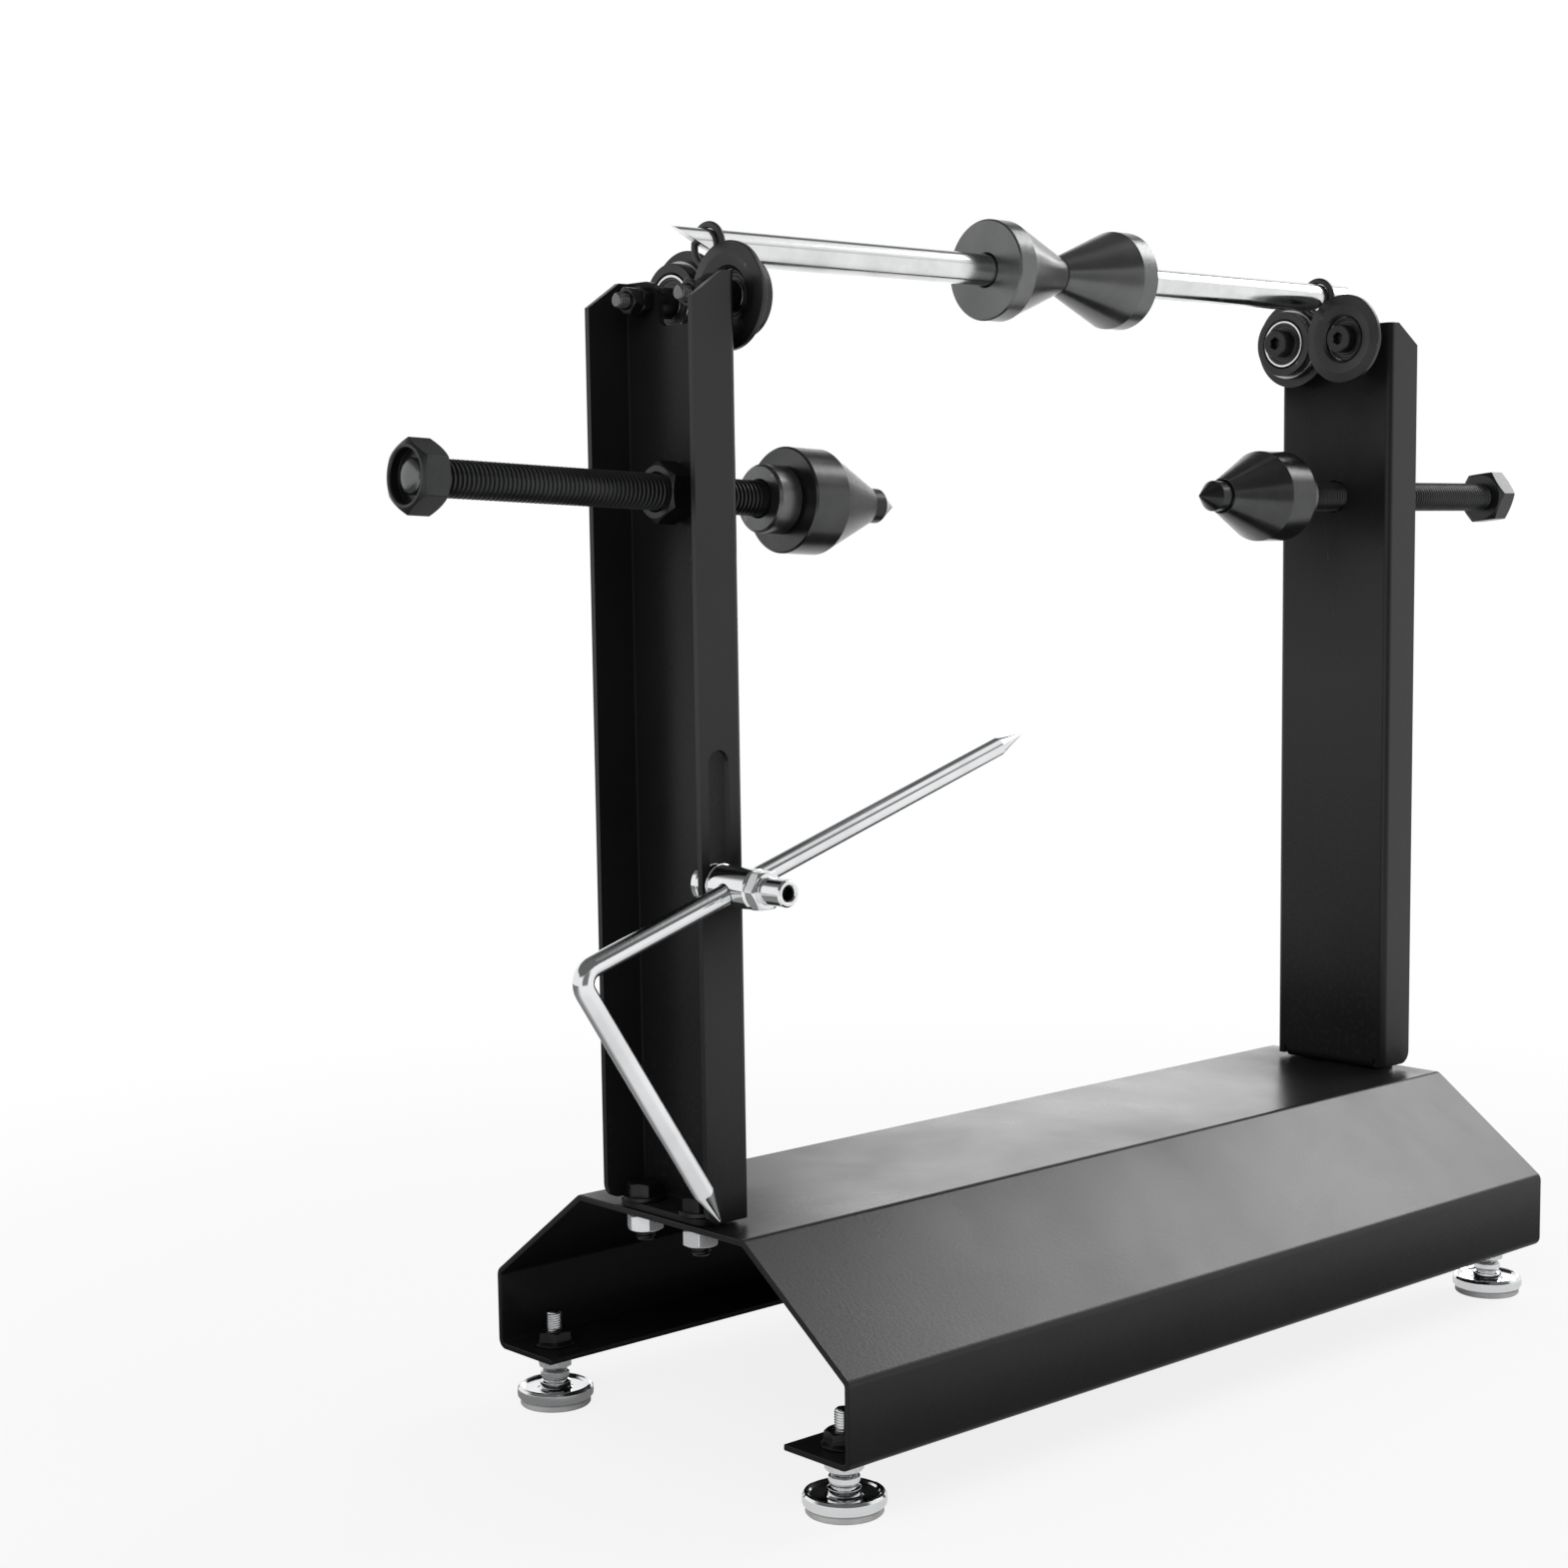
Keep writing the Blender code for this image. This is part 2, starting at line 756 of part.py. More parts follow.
def make_rollers(black, steel, screw_black):
    bearing = bearing_mesh()
    axle = axle_mesh()
    nut = axle_nut_mesh()
    for side, side_name in ((LEFT, "left"), (RIGHT, "right")):
        for end, end_name in ((FRONT, "front"), (REAR, "rear")):
            tag = f"{side_name}_{end_name}"
            rim_first = side == -end
            y = end * roller_offset
            turn = along_x(side)
            hub = joint_empty(f"roller_joint_{tag}", (side * bearing_inner_x, y, axle_z))
            first_x = bearing_inner_x
            if rim_first:
                first_x = bearing_outer_x - roller_width
            wheel_place = (side * first_x, y, axle_z)
            bearing_place = (side * bearing_inner_x, y, axle_z)
            nut_place = (side * (web_outer_x + touch_gap), y, axle_z)
            wheel = roller_mesh(rim_first)
            put(f"roller_wheel_{tag}", wheel, black, wheel_place, turn, hub)
            put(f"roller_bearing_{tag}", bearing, steel, bearing_place, turn, hub)
            put(f"roller_axle_{tag}", axle, screw_black, bearing_place, turn)
            put(f"roller_nut_{tag}", nut, screw_black, nut_place, turn)


def make_shaft(steel, rubber, black):
    """Balance shaft, whose bevel-ground ends face down and to the rear."""
    half = shaft_length / 2
    bar = turned("balance_shaft", rod_profile(shaft_radius, -half, half))
    bar.transform(along_x(RIGHT))
    cuts = []
    lean = 2 * shaft_radius / shaft_point_length
    reach = shaft_point_length + cut_overrun * 2
    for side in (LEFT, RIGHT):
        start = half - shaft_point_length - cut_overrun
        outline = [
            (side * start, -shaft_radius * 2, -shaft_radius - cut_overrun * lean),
            (side * (start + reach), -shaft_radius * 2, shaft_radius + cut_overrun * lean),
            (side * (start + reach), -shaft_radius * 2, -shaft_radius * 2),
            (side * start, -shaft_radius * 2, -shaft_radius * 2),
        ]
        bevel = extruded("bevel", outline, AXIS_Y, shaft_radius * 4)
        cuts.append(helper("bevel", bevel))
    lift = joint_empty("shaft_lift_joint", (0, 0, shaft_z))
    spin = joint_empty("shaft_spin_joint", (0, 0, shaft_z), lift)
    shaft = shaped("balance_shaft", bar, cuts=cuts)
    shaft.transform(Matrix.Rotation(math.radians(shaft_point_turn_deg), 4, "X"))
    put("balance_shaft", shaft, steel, (0, 0, shaft_z), parent=spin)
    seat = shaft_radius + ring_radius + touch_gap / 2
    loop = []
    for step in range(ring_steps):
        angle = math.tau * step / ring_steps
        loop.append((seat + ring_radius * math.cos(angle), -ring_radius * math.sin(angle)))
    ring = turned("shaft_ring", loop, small_steps)
    for side, name in ((LEFT, "shaft_ring_left"), (RIGHT, "shaft_ring_right")):
        put(name, ring, rubber, (side * ring_place, 0, shaft_z), along_x(side), lift)
    bore = shaft_radius + running_gap
    profile = [
        (shaft_cone_small_radius, shaft_cone_length),
        (shaft_cone_radius, shaft_cone_rim),
        (shaft_cone_radius, cone_edge),
        (shaft_cone_radius - cone_edge, 0),
        (bore, 0),
        (bore, shaft_cone_length),
    ]
    cone = turned("shaft_cone", profile, fine_steps)
    for side, name in ((LEFT, "shaft_cone_left"), (RIGHT, "shaft_cone_right")):
        big_face = shaft_cone_meeting + side * (shaft_cone_length + touch_gap)
        slide = joint_empty(f"{name}_joint", (big_face, 0, shaft_z), spin)
        put(name, cone, black, (big_face, 0, shaft_z), along_x(-side), slide)


def truing_rod_mesh():
    """Screwed rod with a conical tip at local Z zero and its hand nut at the far end."""
    nut_low = truing_rod_length - hand_nut_length
    bar = [
        (0, nut_low + seam_overlap),
        (truing_rod_radius, nut_low + seam_overlap),
        (truing_rod_radius, truing_point_length),
        (0, 0),
    ]
    corner = hand_nut_across / 2 / math.cos(math.pi / hex_sides)
    crown = [
        (0, truing_rod_length),
        (corner - nut_chamfer, truing_rod_length),
        (corner + cut_overrun, truing_rod_length - nut_chamfer),
        (corner + cut_overrun, nut_low + nut_chamfer),
        (corner - nut_chamfer, nut_low),
        (0, nut_low),
    ]
    head = hex_prism("head", hand_nut_across, hand_nut_length)
    head.transform(Matrix.Translation((0, 0, nut_low)))
    half_step = Matrix.Rotation(math.pi / fine_steps, 4, "Z")
    keep = helper("crown", turned("crown", crown, fine_steps), turn=half_step)
    head_tool = helper("head_tool", shaped("head_tool", head, keeps=[keep]))
    groove_low = truing_rod_length - hand_nut_groove_depth
    groove = [
        (hand_nut_groove_outer, truing_rod_length + cut_overrun),
        (hand_nut_groove_outer, groove_low),
        (hand_nut_groove_inner, groove_low),
        (hand_nut_groove_inner, truing_rod_length + cut_overrun),
    ]
    ring = helper("groove", turned("groove", groove))
    return shaped("truing_rod", turned("truing_rod", bar), joins=[head_tool], cuts=[ring])


def truing_cone_mesh():
    """Cone along local +Z from its small end to its flat back."""
    bore = truing_rod_radius + running_gap
    length = truing_cone_taper + truing_cone_rim
    profile = [
        (truing_cone_radius - cone_edge, length),
        (truing_cone_radius, length - cone_edge),
        (truing_cone_radius, truing_cone_taper),
        (truing_cone_small_radius, 0),
        (bore, 0),
        (bore, length),
    ]
    return turned("truing_cone", profile, fine_steps)


def make_truing_sets(black, rod_black):
    """The two screwed rods that clamp a rim between cones while it is trued.

    Each rod passes the web at truing_height. The left one sags in its clearance hole.
    """
    rod = truing_rod_mesh()
    cone = truing_cone_mesh()
    bore = truing_rod_radius + running_gap
    edge = truing_collar_edge
    collar_profile = [
        (truing_collar_radius - edge, truing_collar_length),
        (truing_collar_radius, truing_collar_length - edge),
        (truing_collar_radius, edge),
        (truing_collar_radius - edge, 0),
        (bore, 0),
        (bore, truing_collar_length),
    ]
    collar = turned("truing_collar", collar_profile)
    nut = hex_nut("truing_web_nut", web_nut_across, web_nut_length, bore)
    back = truing_cone_place + truing_cone_taper + truing_cone_rim + touch_gap
    for side, name, tip, droop in (
        (LEFT, "left", truing_point_left, math.radians(truing_droop_left_deg)),
        (RIGHT, "right", truing_point_right, math.radians(truing_droop_right_deg)),
    ):
        turn = Matrix.Rotation(-side * droop, 4, "Y") @ along_x(side)
        outward = turn @ AXIS_Z
        crossing = Vector((side * web_outer_x, 0, truing_height))
        tip_place = crossing - outward * (web_outer_x - tip) / math.cos(droop)
        cone_place = tip_place + outward * truing_cone_place
        collar_place = tip_place + outward * back
        nut_lean = web_nut_across / math.sqrt(3) * math.sin(droop)
        nut_place = crossing + outward * (touch_gap + nut_lean)
        slide = joint_empty(f"truing_slide_{name}", tip_place)
        spin = joint_empty(f"truing_spin_{name}", tip_place, slide)
        put(f"truing_cone_{name}", cone, black, cone_place, turn, slide)
        put(f"truing_rod_{name}", rod, rod_black, tip_place, turn, spin)
        put(f"truing_collar_{name}", collar, black, collar_place, turn, spin)
        put(f"truing_web_nut_{name}", nut, rod_black, nut_place, turn)


def pointer_path():
    """Centre line of the bent pointer in its own plane, from the upper tip to the lower.

    The first axis is X and the second Z, with the clamp's cross hole at the origin.
    """
    tilt = math.radians(pointer_tilt_deg)
    fold = math.radians(pointer_tilt_deg - pointer_fold_deg)
    arm = Vector((math.cos(tilt), math.sin(tilt)))
    leg = Vector((math.cos(fold), math.sin(fold)))
    elbow = -arm * pointer_back
    half = math.radians(pointer_fold_deg) / 2
    run = pointer_bend_radius / math.tan(half)
    centre = elbow + (arm + leg).normalized() * pointer_bend_radius / math.sin(half)
    start = elbow + arm * run - centre
    sweep = start.angle_signed(elbow + leg * run - centre)
    upper_tip = arm * pointer_reach
    lower_tip = elbow + leg * pointer_leg
    points = [(upper_tip, True), (upper_tip - arm * pointer_point_length, False)]
    for step in range(pointer_bend_steps + 1):
        part = Matrix.Rotation(-sweep * step / pointer_bend_steps, 2)
        points.append((centre + part @ start, False))
    points.append((lower_tip - leg * pointer_point_length, False))
    points.append((lower_tip, True))
    return points


def make_pointer(chrome):
    """Slide nut, clamp post, clamp screw and the bent rod with two ground points."""
    clamp_x = -slot_x
    post_foot_y = front_y - touch_gap
    rod_y = front_y - pointer_stand
    post_place = (clamp_x, post_foot_y, pointer_height)
    slide = joint_empty("pointer_slide_joint", post_place)
    swing = joint_empty("pointer_swing_joint", post_place, slide)
    draw = joint_empty("pointer_draw_joint", (clamp_x, rod_y, pointer_height), swing)

    tail = touch_gap + upright_sheet + post_shank_tail
    post_profile = [
        (0, post_length),
        (post_radius - post_edge, post_length),
        (post_radius, post_length - post_edge),
        (post_radius, post_washer_height),
        (post_washer_radius, post_washer_height),
        (post_washer_radius, 0),
        (post_shank_radius, 0),
        (post_shank_radius, -tail),
        (0, -tail),
    ]
    tilt = math.radians(pointer_tilt_deg)
    hole_turn = Matrix.Rotation(tilt, 4, "Z") @ Matrix.Rotation(math.radians(90), 4, "Y")
    reach = post_washer_radius + cut_overrun
    cross_hole = cutter_rod(
        "cross_hole",
        pointer_rod_radius + running_gap,
        -reach,
        reach,
        (0, 0, pointer_stand - touch_gap),
        hole_turn,
        small_steps,
    )
    post = shaped("pointer_post", turned("pointer_post", post_profile), cuts=[cross_hole])
    put("pointer_post", post, chrome, post_place, along_minus_y(), swing)

    stem_top = clamp_hex_length + clamp_stem_length
    stem = [
        (0, stem_top),
        (clamp_stem_radius - post_edge, stem_top),
        (clamp_stem_radius, stem_top - post_edge),
        (clamp_stem_radius, clamp_hex_length - seam_overlap),
        (0, clamp_hex_length - seam_overlap),
    ]
    stem_tool = helper("stem", turned("stem", stem))
    socket = cutter_rod(
        "socket",
        clamp_socket_radius,
        stem_top - clamp_socket_depth,
        stem_top + cut_overrun,
        steps=small_steps,
    )
    hexagon = hex_prism("clamp", clamp_hex_across, clamp_hex_length)
    screw = shaped("pointer_clamp_screw", hexagon, joins=[stem_tool], cuts=[socket])
    screw_place = (clamp_x, post_foot_y - post_length - touch_gap, pointer_height)
    put("pointer_clamp_screw", screw, chrome, screw_place, along_minus_y(), swing)

    washer = [
        (0, slide_washer_height),
        (slide_washer_radius, slide_washer_height),
        (slide_washer_radius, 0),
        (0, 0),
    ]
    hexagon = hex_prism("slide", slide_nut_across, slide_washer_height + slide_nut_length)
    bore = cutter_rod(
        "bore",
        post_shank_radius + running_gap,
        -cut_overrun,
        slide_washer_height + slide_nut_length + cut_overrun,
        steps=small_steps,
    )
    washer_tool = helper("washer", turned("washer", washer))
    nut = shaped("pointer_slide_nut", hexagon, joins=[washer_tool], cuts=[bore])
    nut_place = (clamp_x, front_y + upright_sheet + touch_gap, pointer_height)
    turn = Matrix.Rotation(math.radians(-90), 4, "X")
    put("pointer_slide_nut", nut, chrome, nut_place, turn, slide)

    curve = bpy.data.curves.new("pointer_rod", "CURVE")
    curve.dimensions = "3D"
    curve.bevel_depth = pointer_rod_radius
    curve.bevel_resolution = 4
    curve.use_fill_caps = True
    path = pointer_path()
    spline = curve.splines.new("POLY")
    spline.points.add(len(path) - 1)
    for point, (place, is_tip) in zip(spline.points, path):
        point.co = (place.x, 0, place.y, 1)
        point.radius = pointer_point_share if is_tip else 1
    curve.materials.append(chrome)
    rod = bpy.data.objects.new("pointer_rod", curve)
    bpy.context.scene.collection.objects.link(rod)
    rod.matrix_world = Matrix.Translation((clamp_x, rod_y, pointer_height))
    rod.parent = draw
    rod.matrix_parent_inverse = draw.matrix_world.inverted()


def stand_on_floor():
    """Hang every loose piece on one empty, and lift it until the feet are at Z zero."""
    stand = joint_empty("stand", (0, 0, 0))
    for obj in list(bpy.data.objects):
        if obj is not stand and not obj.parent:
            obj.parent = stand
    stand.location.z = -floor_z


def main():
    clear_scene()
    powder_coat = paint("black_powder_coat", (0.018, 0.018, 0.018), 0.38, 0.0)
    black_oxide = paint("black_oxide_cones", (0.030, 0.030, 0.031), 0.34, 0.6)
    thread_black = paint("black_oxide_threads", (0.020, 0.020, 0.021), 0.42, 0.5)
    wheel_black = paint("black_roller_wheels", (0.026, 0.026, 0.027), 0.45, 0.3)
    bolt_black = paint("black_bolts", (0.014, 0.014, 0.014), 0.5, 0.4)
    chrome = paint("bright_chrome", (0.78, 0.79, 0.80), 0.10, 1.0)
    ground_steel = paint("bright_ground_steel", (0.70, 0.71, 0.72), 0.18, 1.0)
    bearing_steel = paint("bearing_steel", (0.60, 0.60, 0.61), 0.22, 1.0)
    zinc = paint("zinc_nuts", (0.72, 0.73, 0.74), 0.25, 1.0)
    rubber = paint("rubber_rings", (0.015, 0.015, 0.015), 0.7, 0.0)
    nylon = paint("grey_nylon_pads", (0.55, 0.55, 0.55), 0.5, 0.0)
    make_base(powder_coat)
    make_upright(LEFT, powder_coat)
    make_upright(RIGHT, powder_coat)
    make_upright_fasteners(bolt_black, zinc)
    make_feet(chrome, nylon, zinc, bolt_black)
    make_rollers(wheel_black, bearing_steel, bolt_black)
    make_shaft(ground_steel, rubber, black_oxide)
    make_truing_sets(black_oxide, thread_black)
    make_pointer(chrome)
    stand_on_floor()


main()
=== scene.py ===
# %% [markdown]
# # A motorcycle wheel balancer, dressed in Blender
#
# A wheel balancer is a small bench stand. The wheel hangs on a ground steel shaft, held
# between two cones, and the shaft turns on four ball-bearing rollers. The heavy side of
# the wheel swings down. Two screwed rods with cones can clamp the rim, and a bent
# pointer shows how true it runs.
#
# The solids of this stand are packed already, with joints and plain colours. This lesson
# builds the finished look round them: each piece is modelled again with soft edges,
# threads and bends, and each finish gets a material made of nodes.

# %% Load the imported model
import math

import bmesh
import bpy
from mathutils import Matrix, Vector


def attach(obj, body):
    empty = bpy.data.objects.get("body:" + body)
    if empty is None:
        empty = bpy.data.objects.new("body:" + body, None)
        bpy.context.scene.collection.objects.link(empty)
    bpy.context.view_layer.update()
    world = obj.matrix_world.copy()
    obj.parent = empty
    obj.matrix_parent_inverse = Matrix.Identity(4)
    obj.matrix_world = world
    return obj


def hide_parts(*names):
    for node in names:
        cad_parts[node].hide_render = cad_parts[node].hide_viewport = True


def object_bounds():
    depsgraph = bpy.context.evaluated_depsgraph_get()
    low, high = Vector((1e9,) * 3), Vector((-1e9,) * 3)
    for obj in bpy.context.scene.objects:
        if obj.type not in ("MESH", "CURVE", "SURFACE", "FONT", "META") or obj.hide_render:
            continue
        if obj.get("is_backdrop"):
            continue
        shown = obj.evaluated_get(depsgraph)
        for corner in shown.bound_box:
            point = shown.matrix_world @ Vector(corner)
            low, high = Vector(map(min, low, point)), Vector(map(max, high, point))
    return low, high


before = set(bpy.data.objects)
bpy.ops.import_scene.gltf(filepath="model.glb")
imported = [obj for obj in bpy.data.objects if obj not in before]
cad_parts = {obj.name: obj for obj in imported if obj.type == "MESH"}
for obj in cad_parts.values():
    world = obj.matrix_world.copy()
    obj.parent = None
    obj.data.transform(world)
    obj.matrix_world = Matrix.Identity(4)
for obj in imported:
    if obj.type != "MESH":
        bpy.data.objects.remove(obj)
cad_low, cad_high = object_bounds()
cad_box = [list(cad_low), list(cad_high)]
scene = bpy.context.scene
floor_z = cad_low[2]
print("size in mm", [round((high - low) * 1000, 1) for low, high in zip(*cad_box)])

# %% [markdown]
# ## Places and turns
#
# Three small helpers serve the whole lesson. `turned` is a turn about one axis, `placed`
# joins a place and a turn into one matrix, and `linked` puts new data into the scene as
# an object.

# %% Places and turns
def turned(degrees, axis="Z"):
    """A turn about one axis, as a matrix."""
    return Matrix.Rotation(math.radians(degrees), 4, axis)


def placed(place, turn=None):
    """A place, and an optional turn, as one matrix."""
    return Matrix.Translation(Vector(place)) @ (turn or Matrix.Identity(4))


def linked(name, data):
    """A new object in the scene."""
    obj = bpy.data.objects.new(name, data)
    scene.collection.objects.link(obj)
    return obj


print("place helpers ready")

# %% [markdown]
# ## The camera
#
# A picture of a product is easier to copy when the camera stands where the photographer
# stood. Its place was found from corners that show in the picture: a turn round the
# upright axis, a small lift, a very small roll, and a lens length. A camera in Blender
# looks along its own -Z, so it is first tipped up from the floor by almost a right angle.

# %% Camera at the viewing angle of the picture
camera_turn = -41.79
camera_tip = 90 - 6.45
camera_roll = -0.81
camera_place = (-0.8587, -0.7861, 0.3558)
camera_data = bpy.data.cameras.new("studio_camera")
camera_data.lens = 60.83
camera_data.sensor_width = 36.0
camera_data.shift_y = 0.0418
camera = linked("studio_camera", camera_data)
camera_aim = turned(camera_turn) @ turned(camera_tip, "X") @ turned(camera_roll)
camera.matrix_world = placed(camera_place, camera_aim)
scene.camera = camera
print("camera looks along", [round(-v, 3) for v in camera.matrix_world.col[2].xyz])

# %% [markdown]
# ## Patterns that several finishes share
#
# Real finishes are never one even colour. Powder coat has a fine orange peel, turned
# steel has rings from the tool, and every shop tool carries faint smudges. On top of these,
# a lighter colour is painted on the edges that stick out, as a painted highlight. Each
# effect is a node group: a small recipe with named inputs and outputs, built once and
# placed in each material with its own values. The groups give out only heights and masks.
# The shader itself stays in the material.

# %% Helpers that make nodes
def add_node(tree, kind, links=None, **settings):
    """Add a node, set its properties, and join or set its inputs by name or number."""
    node = tree.nodes.new(kind)
    for label, value in settings.items():
        setattr(node, label, value)
    for socket, value in (links or {}).items():
        if isinstance(value, bpy.types.NodeSocket):
            tree.links.new(value, node.inputs[socket])
        else:
            node.inputs[socket].default_value = value
    return node


def maths(tree, operation, first, second=0.0):
    """One Math node, which returns its output socket."""
    return add_node(tree, "ShaderNodeMath", {0: first, 1: second}, operation=operation).outputs[0]


def ranged(tree, value, low, high, least=0.0, most=1.0, smooth=False):
    """Map low..high of a value to least..most, in a straight line or with soft ends."""
    links = {"Value": value, "From Min": low, "From Max": high, "To Min": least, "To Max": most}
    kind = "SMOOTHSTEP" if smooth else "LINEAR"
    return add_node(tree, "ShaderNodeMapRange", links, interpolation_type=kind).outputs["Result"]


def noise(tree, place, scale, detail, **more):
    """A noise that is read at a place."""
    links = {"Vector": place, "Scale": scale, "Detail": detail, **more}
    return add_node(tree, "ShaderNodeTexNoise", links).outputs["Fac"]


def own_place(tree):
    """Where a point lies in its piece's own space, so that a pattern stays with the piece."""
    return add_node(tree, "ShaderNodeTexCoord").outputs["Object"]


def new_group(name, result, inputs):
    """A shader node group with one float output, and float inputs with their defaults."""
    group = bpy.data.node_groups.new(name, "ShaderNodeTree")
    for label, value in inputs.items():
        socket = group.interface.new_socket(label, in_out="INPUT", socket_type="NodeSocketFloat")
        socket.default_value = value
    group.interface.new_socket(result, in_out="OUTPUT", socket_type="NodeSocketFloat")
    return group, group.nodes.new("NodeGroupInput"), group.nodes.new("NodeGroupOutput")


print("node helpers ready")

# %% [markdown]
# ### Orange peel
#
# Powder coat is baked on as dry powder that melts and flows, and it keeps a gentle
# texture about a millimetre wide. Two noise textures of different scale, added
# together, give its height.

# %% Group: orange peel
peel_inputs = {"Wave size": 900.0, "Grit share": 0.3}
peel_group, peel_in, peel_out = new_group("orange_peel", "Height", peel_inputs)
grit_fineness = 3.7
peel_place = own_place(peel_group)
peel_wave = noise(peel_group, peel_place, peel_in.outputs["Wave size"], detail=1.0)
grit_scale = maths(peel_group, "MULTIPLY", peel_in.outputs["Wave size"], grit_fineness)
peel_grit = noise(peel_group, peel_place, grit_scale, detail=0.0)
peel_part = maths(peel_group, "MULTIPLY", peel_grit, peel_in.outputs["Grit share"])
peel_sum = maths(peel_group, "ADD", peel_wave, peel_part)
peel_group.links.new(peel_sum, peel_out.inputs["Height"])
print("made", peel_group.name)

# %% [markdown]
# ### Smudges
#
# Fingers, oil and wiping leave broad, soft patches where a surface is a little duller.
# One low noise, with its contrast raised by a Map Range node, gives that mask. It is
# mixed into the colour and the roughness of every finish here.

# %% Group: smudges
smudge_group, smudge_in, smudge_out = new_group("smudges", "Mask", {"Patch size": 14.0})
smudge_low, smudge_high = 0.34, 0.66
smudge_noise = noise(
    smudge_group, own_place(smudge_group), smudge_in.outputs["Patch size"], detail=4.0,
    Roughness=0.62, Distortion=0.4,
)
smudge_mask = ranged(smudge_group, smudge_noise, smudge_low, smudge_high)
smudge_group.links.new(smudge_mask, smudge_out.inputs["Mask"])
print("made", smudge_group.name)

# %% [markdown]
# ### Tool rings
#
# A lathe leaves rings round the axis of a piece, on its sides and on its flat ends. All
# turned pieces here are modelled along their own Z axis, so a noise that is read only
# from the height and the distance to that axis draws just such rings.

# %% Group: tool rings
ring_inputs = {"Rings per metre": 2600.0, "Waver": 0.02}
ring_group, ring_in, ring_out = new_group("tool_rings", "Height", ring_inputs)
waver_scale = 180.0
ring_place = own_place(ring_group)
ring_split = add_node(ring_group, "ShaderNodeSeparateXYZ", {0: ring_place}).outputs
square_x = maths(ring_group, "MULTIPLY", ring_split["X"], ring_split["X"])
square_y = maths(ring_group, "MULTIPLY", ring_split["Y"], ring_split["Y"])
ring_reach = maths(ring_group, "SQRT", maths(ring_group, "ADD", square_x, square_y))
ring_along = maths(ring_group, "ADD", ring_reach, ring_split["Z"])
ring_count = maths(ring_group, "MULTIPLY", ring_along, ring_in.outputs["Rings per metre"])
waver_noise = noise(ring_group, ring_place, waver_scale, detail=2.0)
waver_part = maths(ring_group, "MULTIPLY", waver_noise, ring_in.outputs["Waver"])
ring_turns = maths(ring_group, "ADD", ring_count, waver_part)
ring_links = {"W": ring_turns, "Scale": 1.0, "Detail": 2.0}
ring_noise = add_node(ring_group, "ShaderNodeTexNoise", ring_links, noise_dimensions="1D")
ring_group.links.new(ring_noise.outputs["Fac"], ring_out.inputs["Height"])
print("made", ring_group.name)

# %% [markdown]
# ### Painted edge highlights
#
# A lighter colour is painted on the edges that stick out, where a bright line of light
# would lie: a painted highlight. Geometry's Pointiness tells convex edges from hollows. A
# noise breaks the mask up, so that the highlight comes in short bright marks and not as an
# even line.

# %% Group: painted edge highlight
edge_highlight_inputs = {"Threshold": 0.56, "Softness": 0.06, "Break up": 0.5}
edge_highlight_group, edge_highlight_in, edge_highlight_out = new_group("painted_edge_highlight", "Mask", edge_highlight_inputs)
mark_scale = 420.0
mark_full = 0.72
# The mask of a painted highlight: convex edges get a lighter colour.
edge_highlight_point = add_node(edge_highlight_group, "ShaderNodeNewGeometry").outputs["Pointiness"]
edge_highlight_start = edge_highlight_in.outputs["Threshold"]
edge_highlight_full = maths(edge_highlight_group, "ADD", edge_highlight_start, edge_highlight_in.outputs["Softness"])
edge_highlight_edges = ranged(edge_highlight_group, edge_highlight_point, edge_highlight_start, edge_highlight_full)
edge_highlight_noise = noise(edge_highlight_group, own_place(edge_highlight_group), mark_scale, detail=3.0)
edge_highlight_marks = ranged(edge_highlight_group, edge_highlight_noise, edge_highlight_in.outputs["Break up"], mark_full)
edge_highlight_mask = maths(edge_highlight_group, "MULTIPLY", edge_highlight_edges, edge_highlight_marks)
edge_highlight_group.links.new(edge_highlight_mask, edge_highlight_out.inputs["Mask"])
print("made", edge_highlight_group.name)

# %% [markdown]
# ## The finishes
#
# Thirteen finishes cover the stand. They all start the same way: a Principled shader
# whose colour and roughness wander between two values with the smudges. Numbers that are
# the same all over are typed on the shader's own sockets. Only what changes over the
# surface is linked.

# %% Helpers for materials
finishes = {}


def place_group(tree, group, **values):
    """Place a group in a material, set its inputs, and return its output."""
    node = add_node(tree, "ShaderNodeGroup", node_tree=group)
    for label, value in values.items():
        node.inputs[label.replace("_", " ")].default_value = value
    return node.outputs[0]


def mix_colours(tree, mask, first, second):
    """A Mix node for two colours, each a socket or three numbers."""
    node = add_node(tree, "ShaderNodeMix", {"Factor": mask}, data_type="RGBA")
    for label, value in (("A", first), ("B", second)):
        socket = [s for s in node.inputs if s.name == label and s.type == "RGBA"][0]
        if isinstance(value, bpy.types.NodeSocket):
            tree.links.new(value, socket)
        else:
            socket.default_value = (*value, 1.0)
    return [s for s in node.outputs if s.type == "RGBA"][0]


def new_finish(name, first, second, roughs, patch, metallic, **sockets):
    """A material whose colour and roughness wander in patches, kept in finishes."""
    material = bpy.data.materials.new(name)
    material.use_nodes = True
    material.diffuse_color = (*first, 1.0)
    finishes[name] = material
    tree = material.node_tree
    shader = tree.nodes["Principled BSDF"]
    shader.inputs["Metallic"].default_value = metallic
    for label, value in sockets.items():
        shader.inputs[label.replace("_", " ")].default_value = value
    mask = place_group(tree, smudge_group, Patch_size=patch)
    colour = mix_colours(tree, mask, first, second)
    tree.links.new(colour, shader.inputs["Base Color"])
    tree.links.new(ranged(tree, mask, 0.0, 1.0, *roughs), shader.inputs["Roughness"])
    return tree, shader, colour


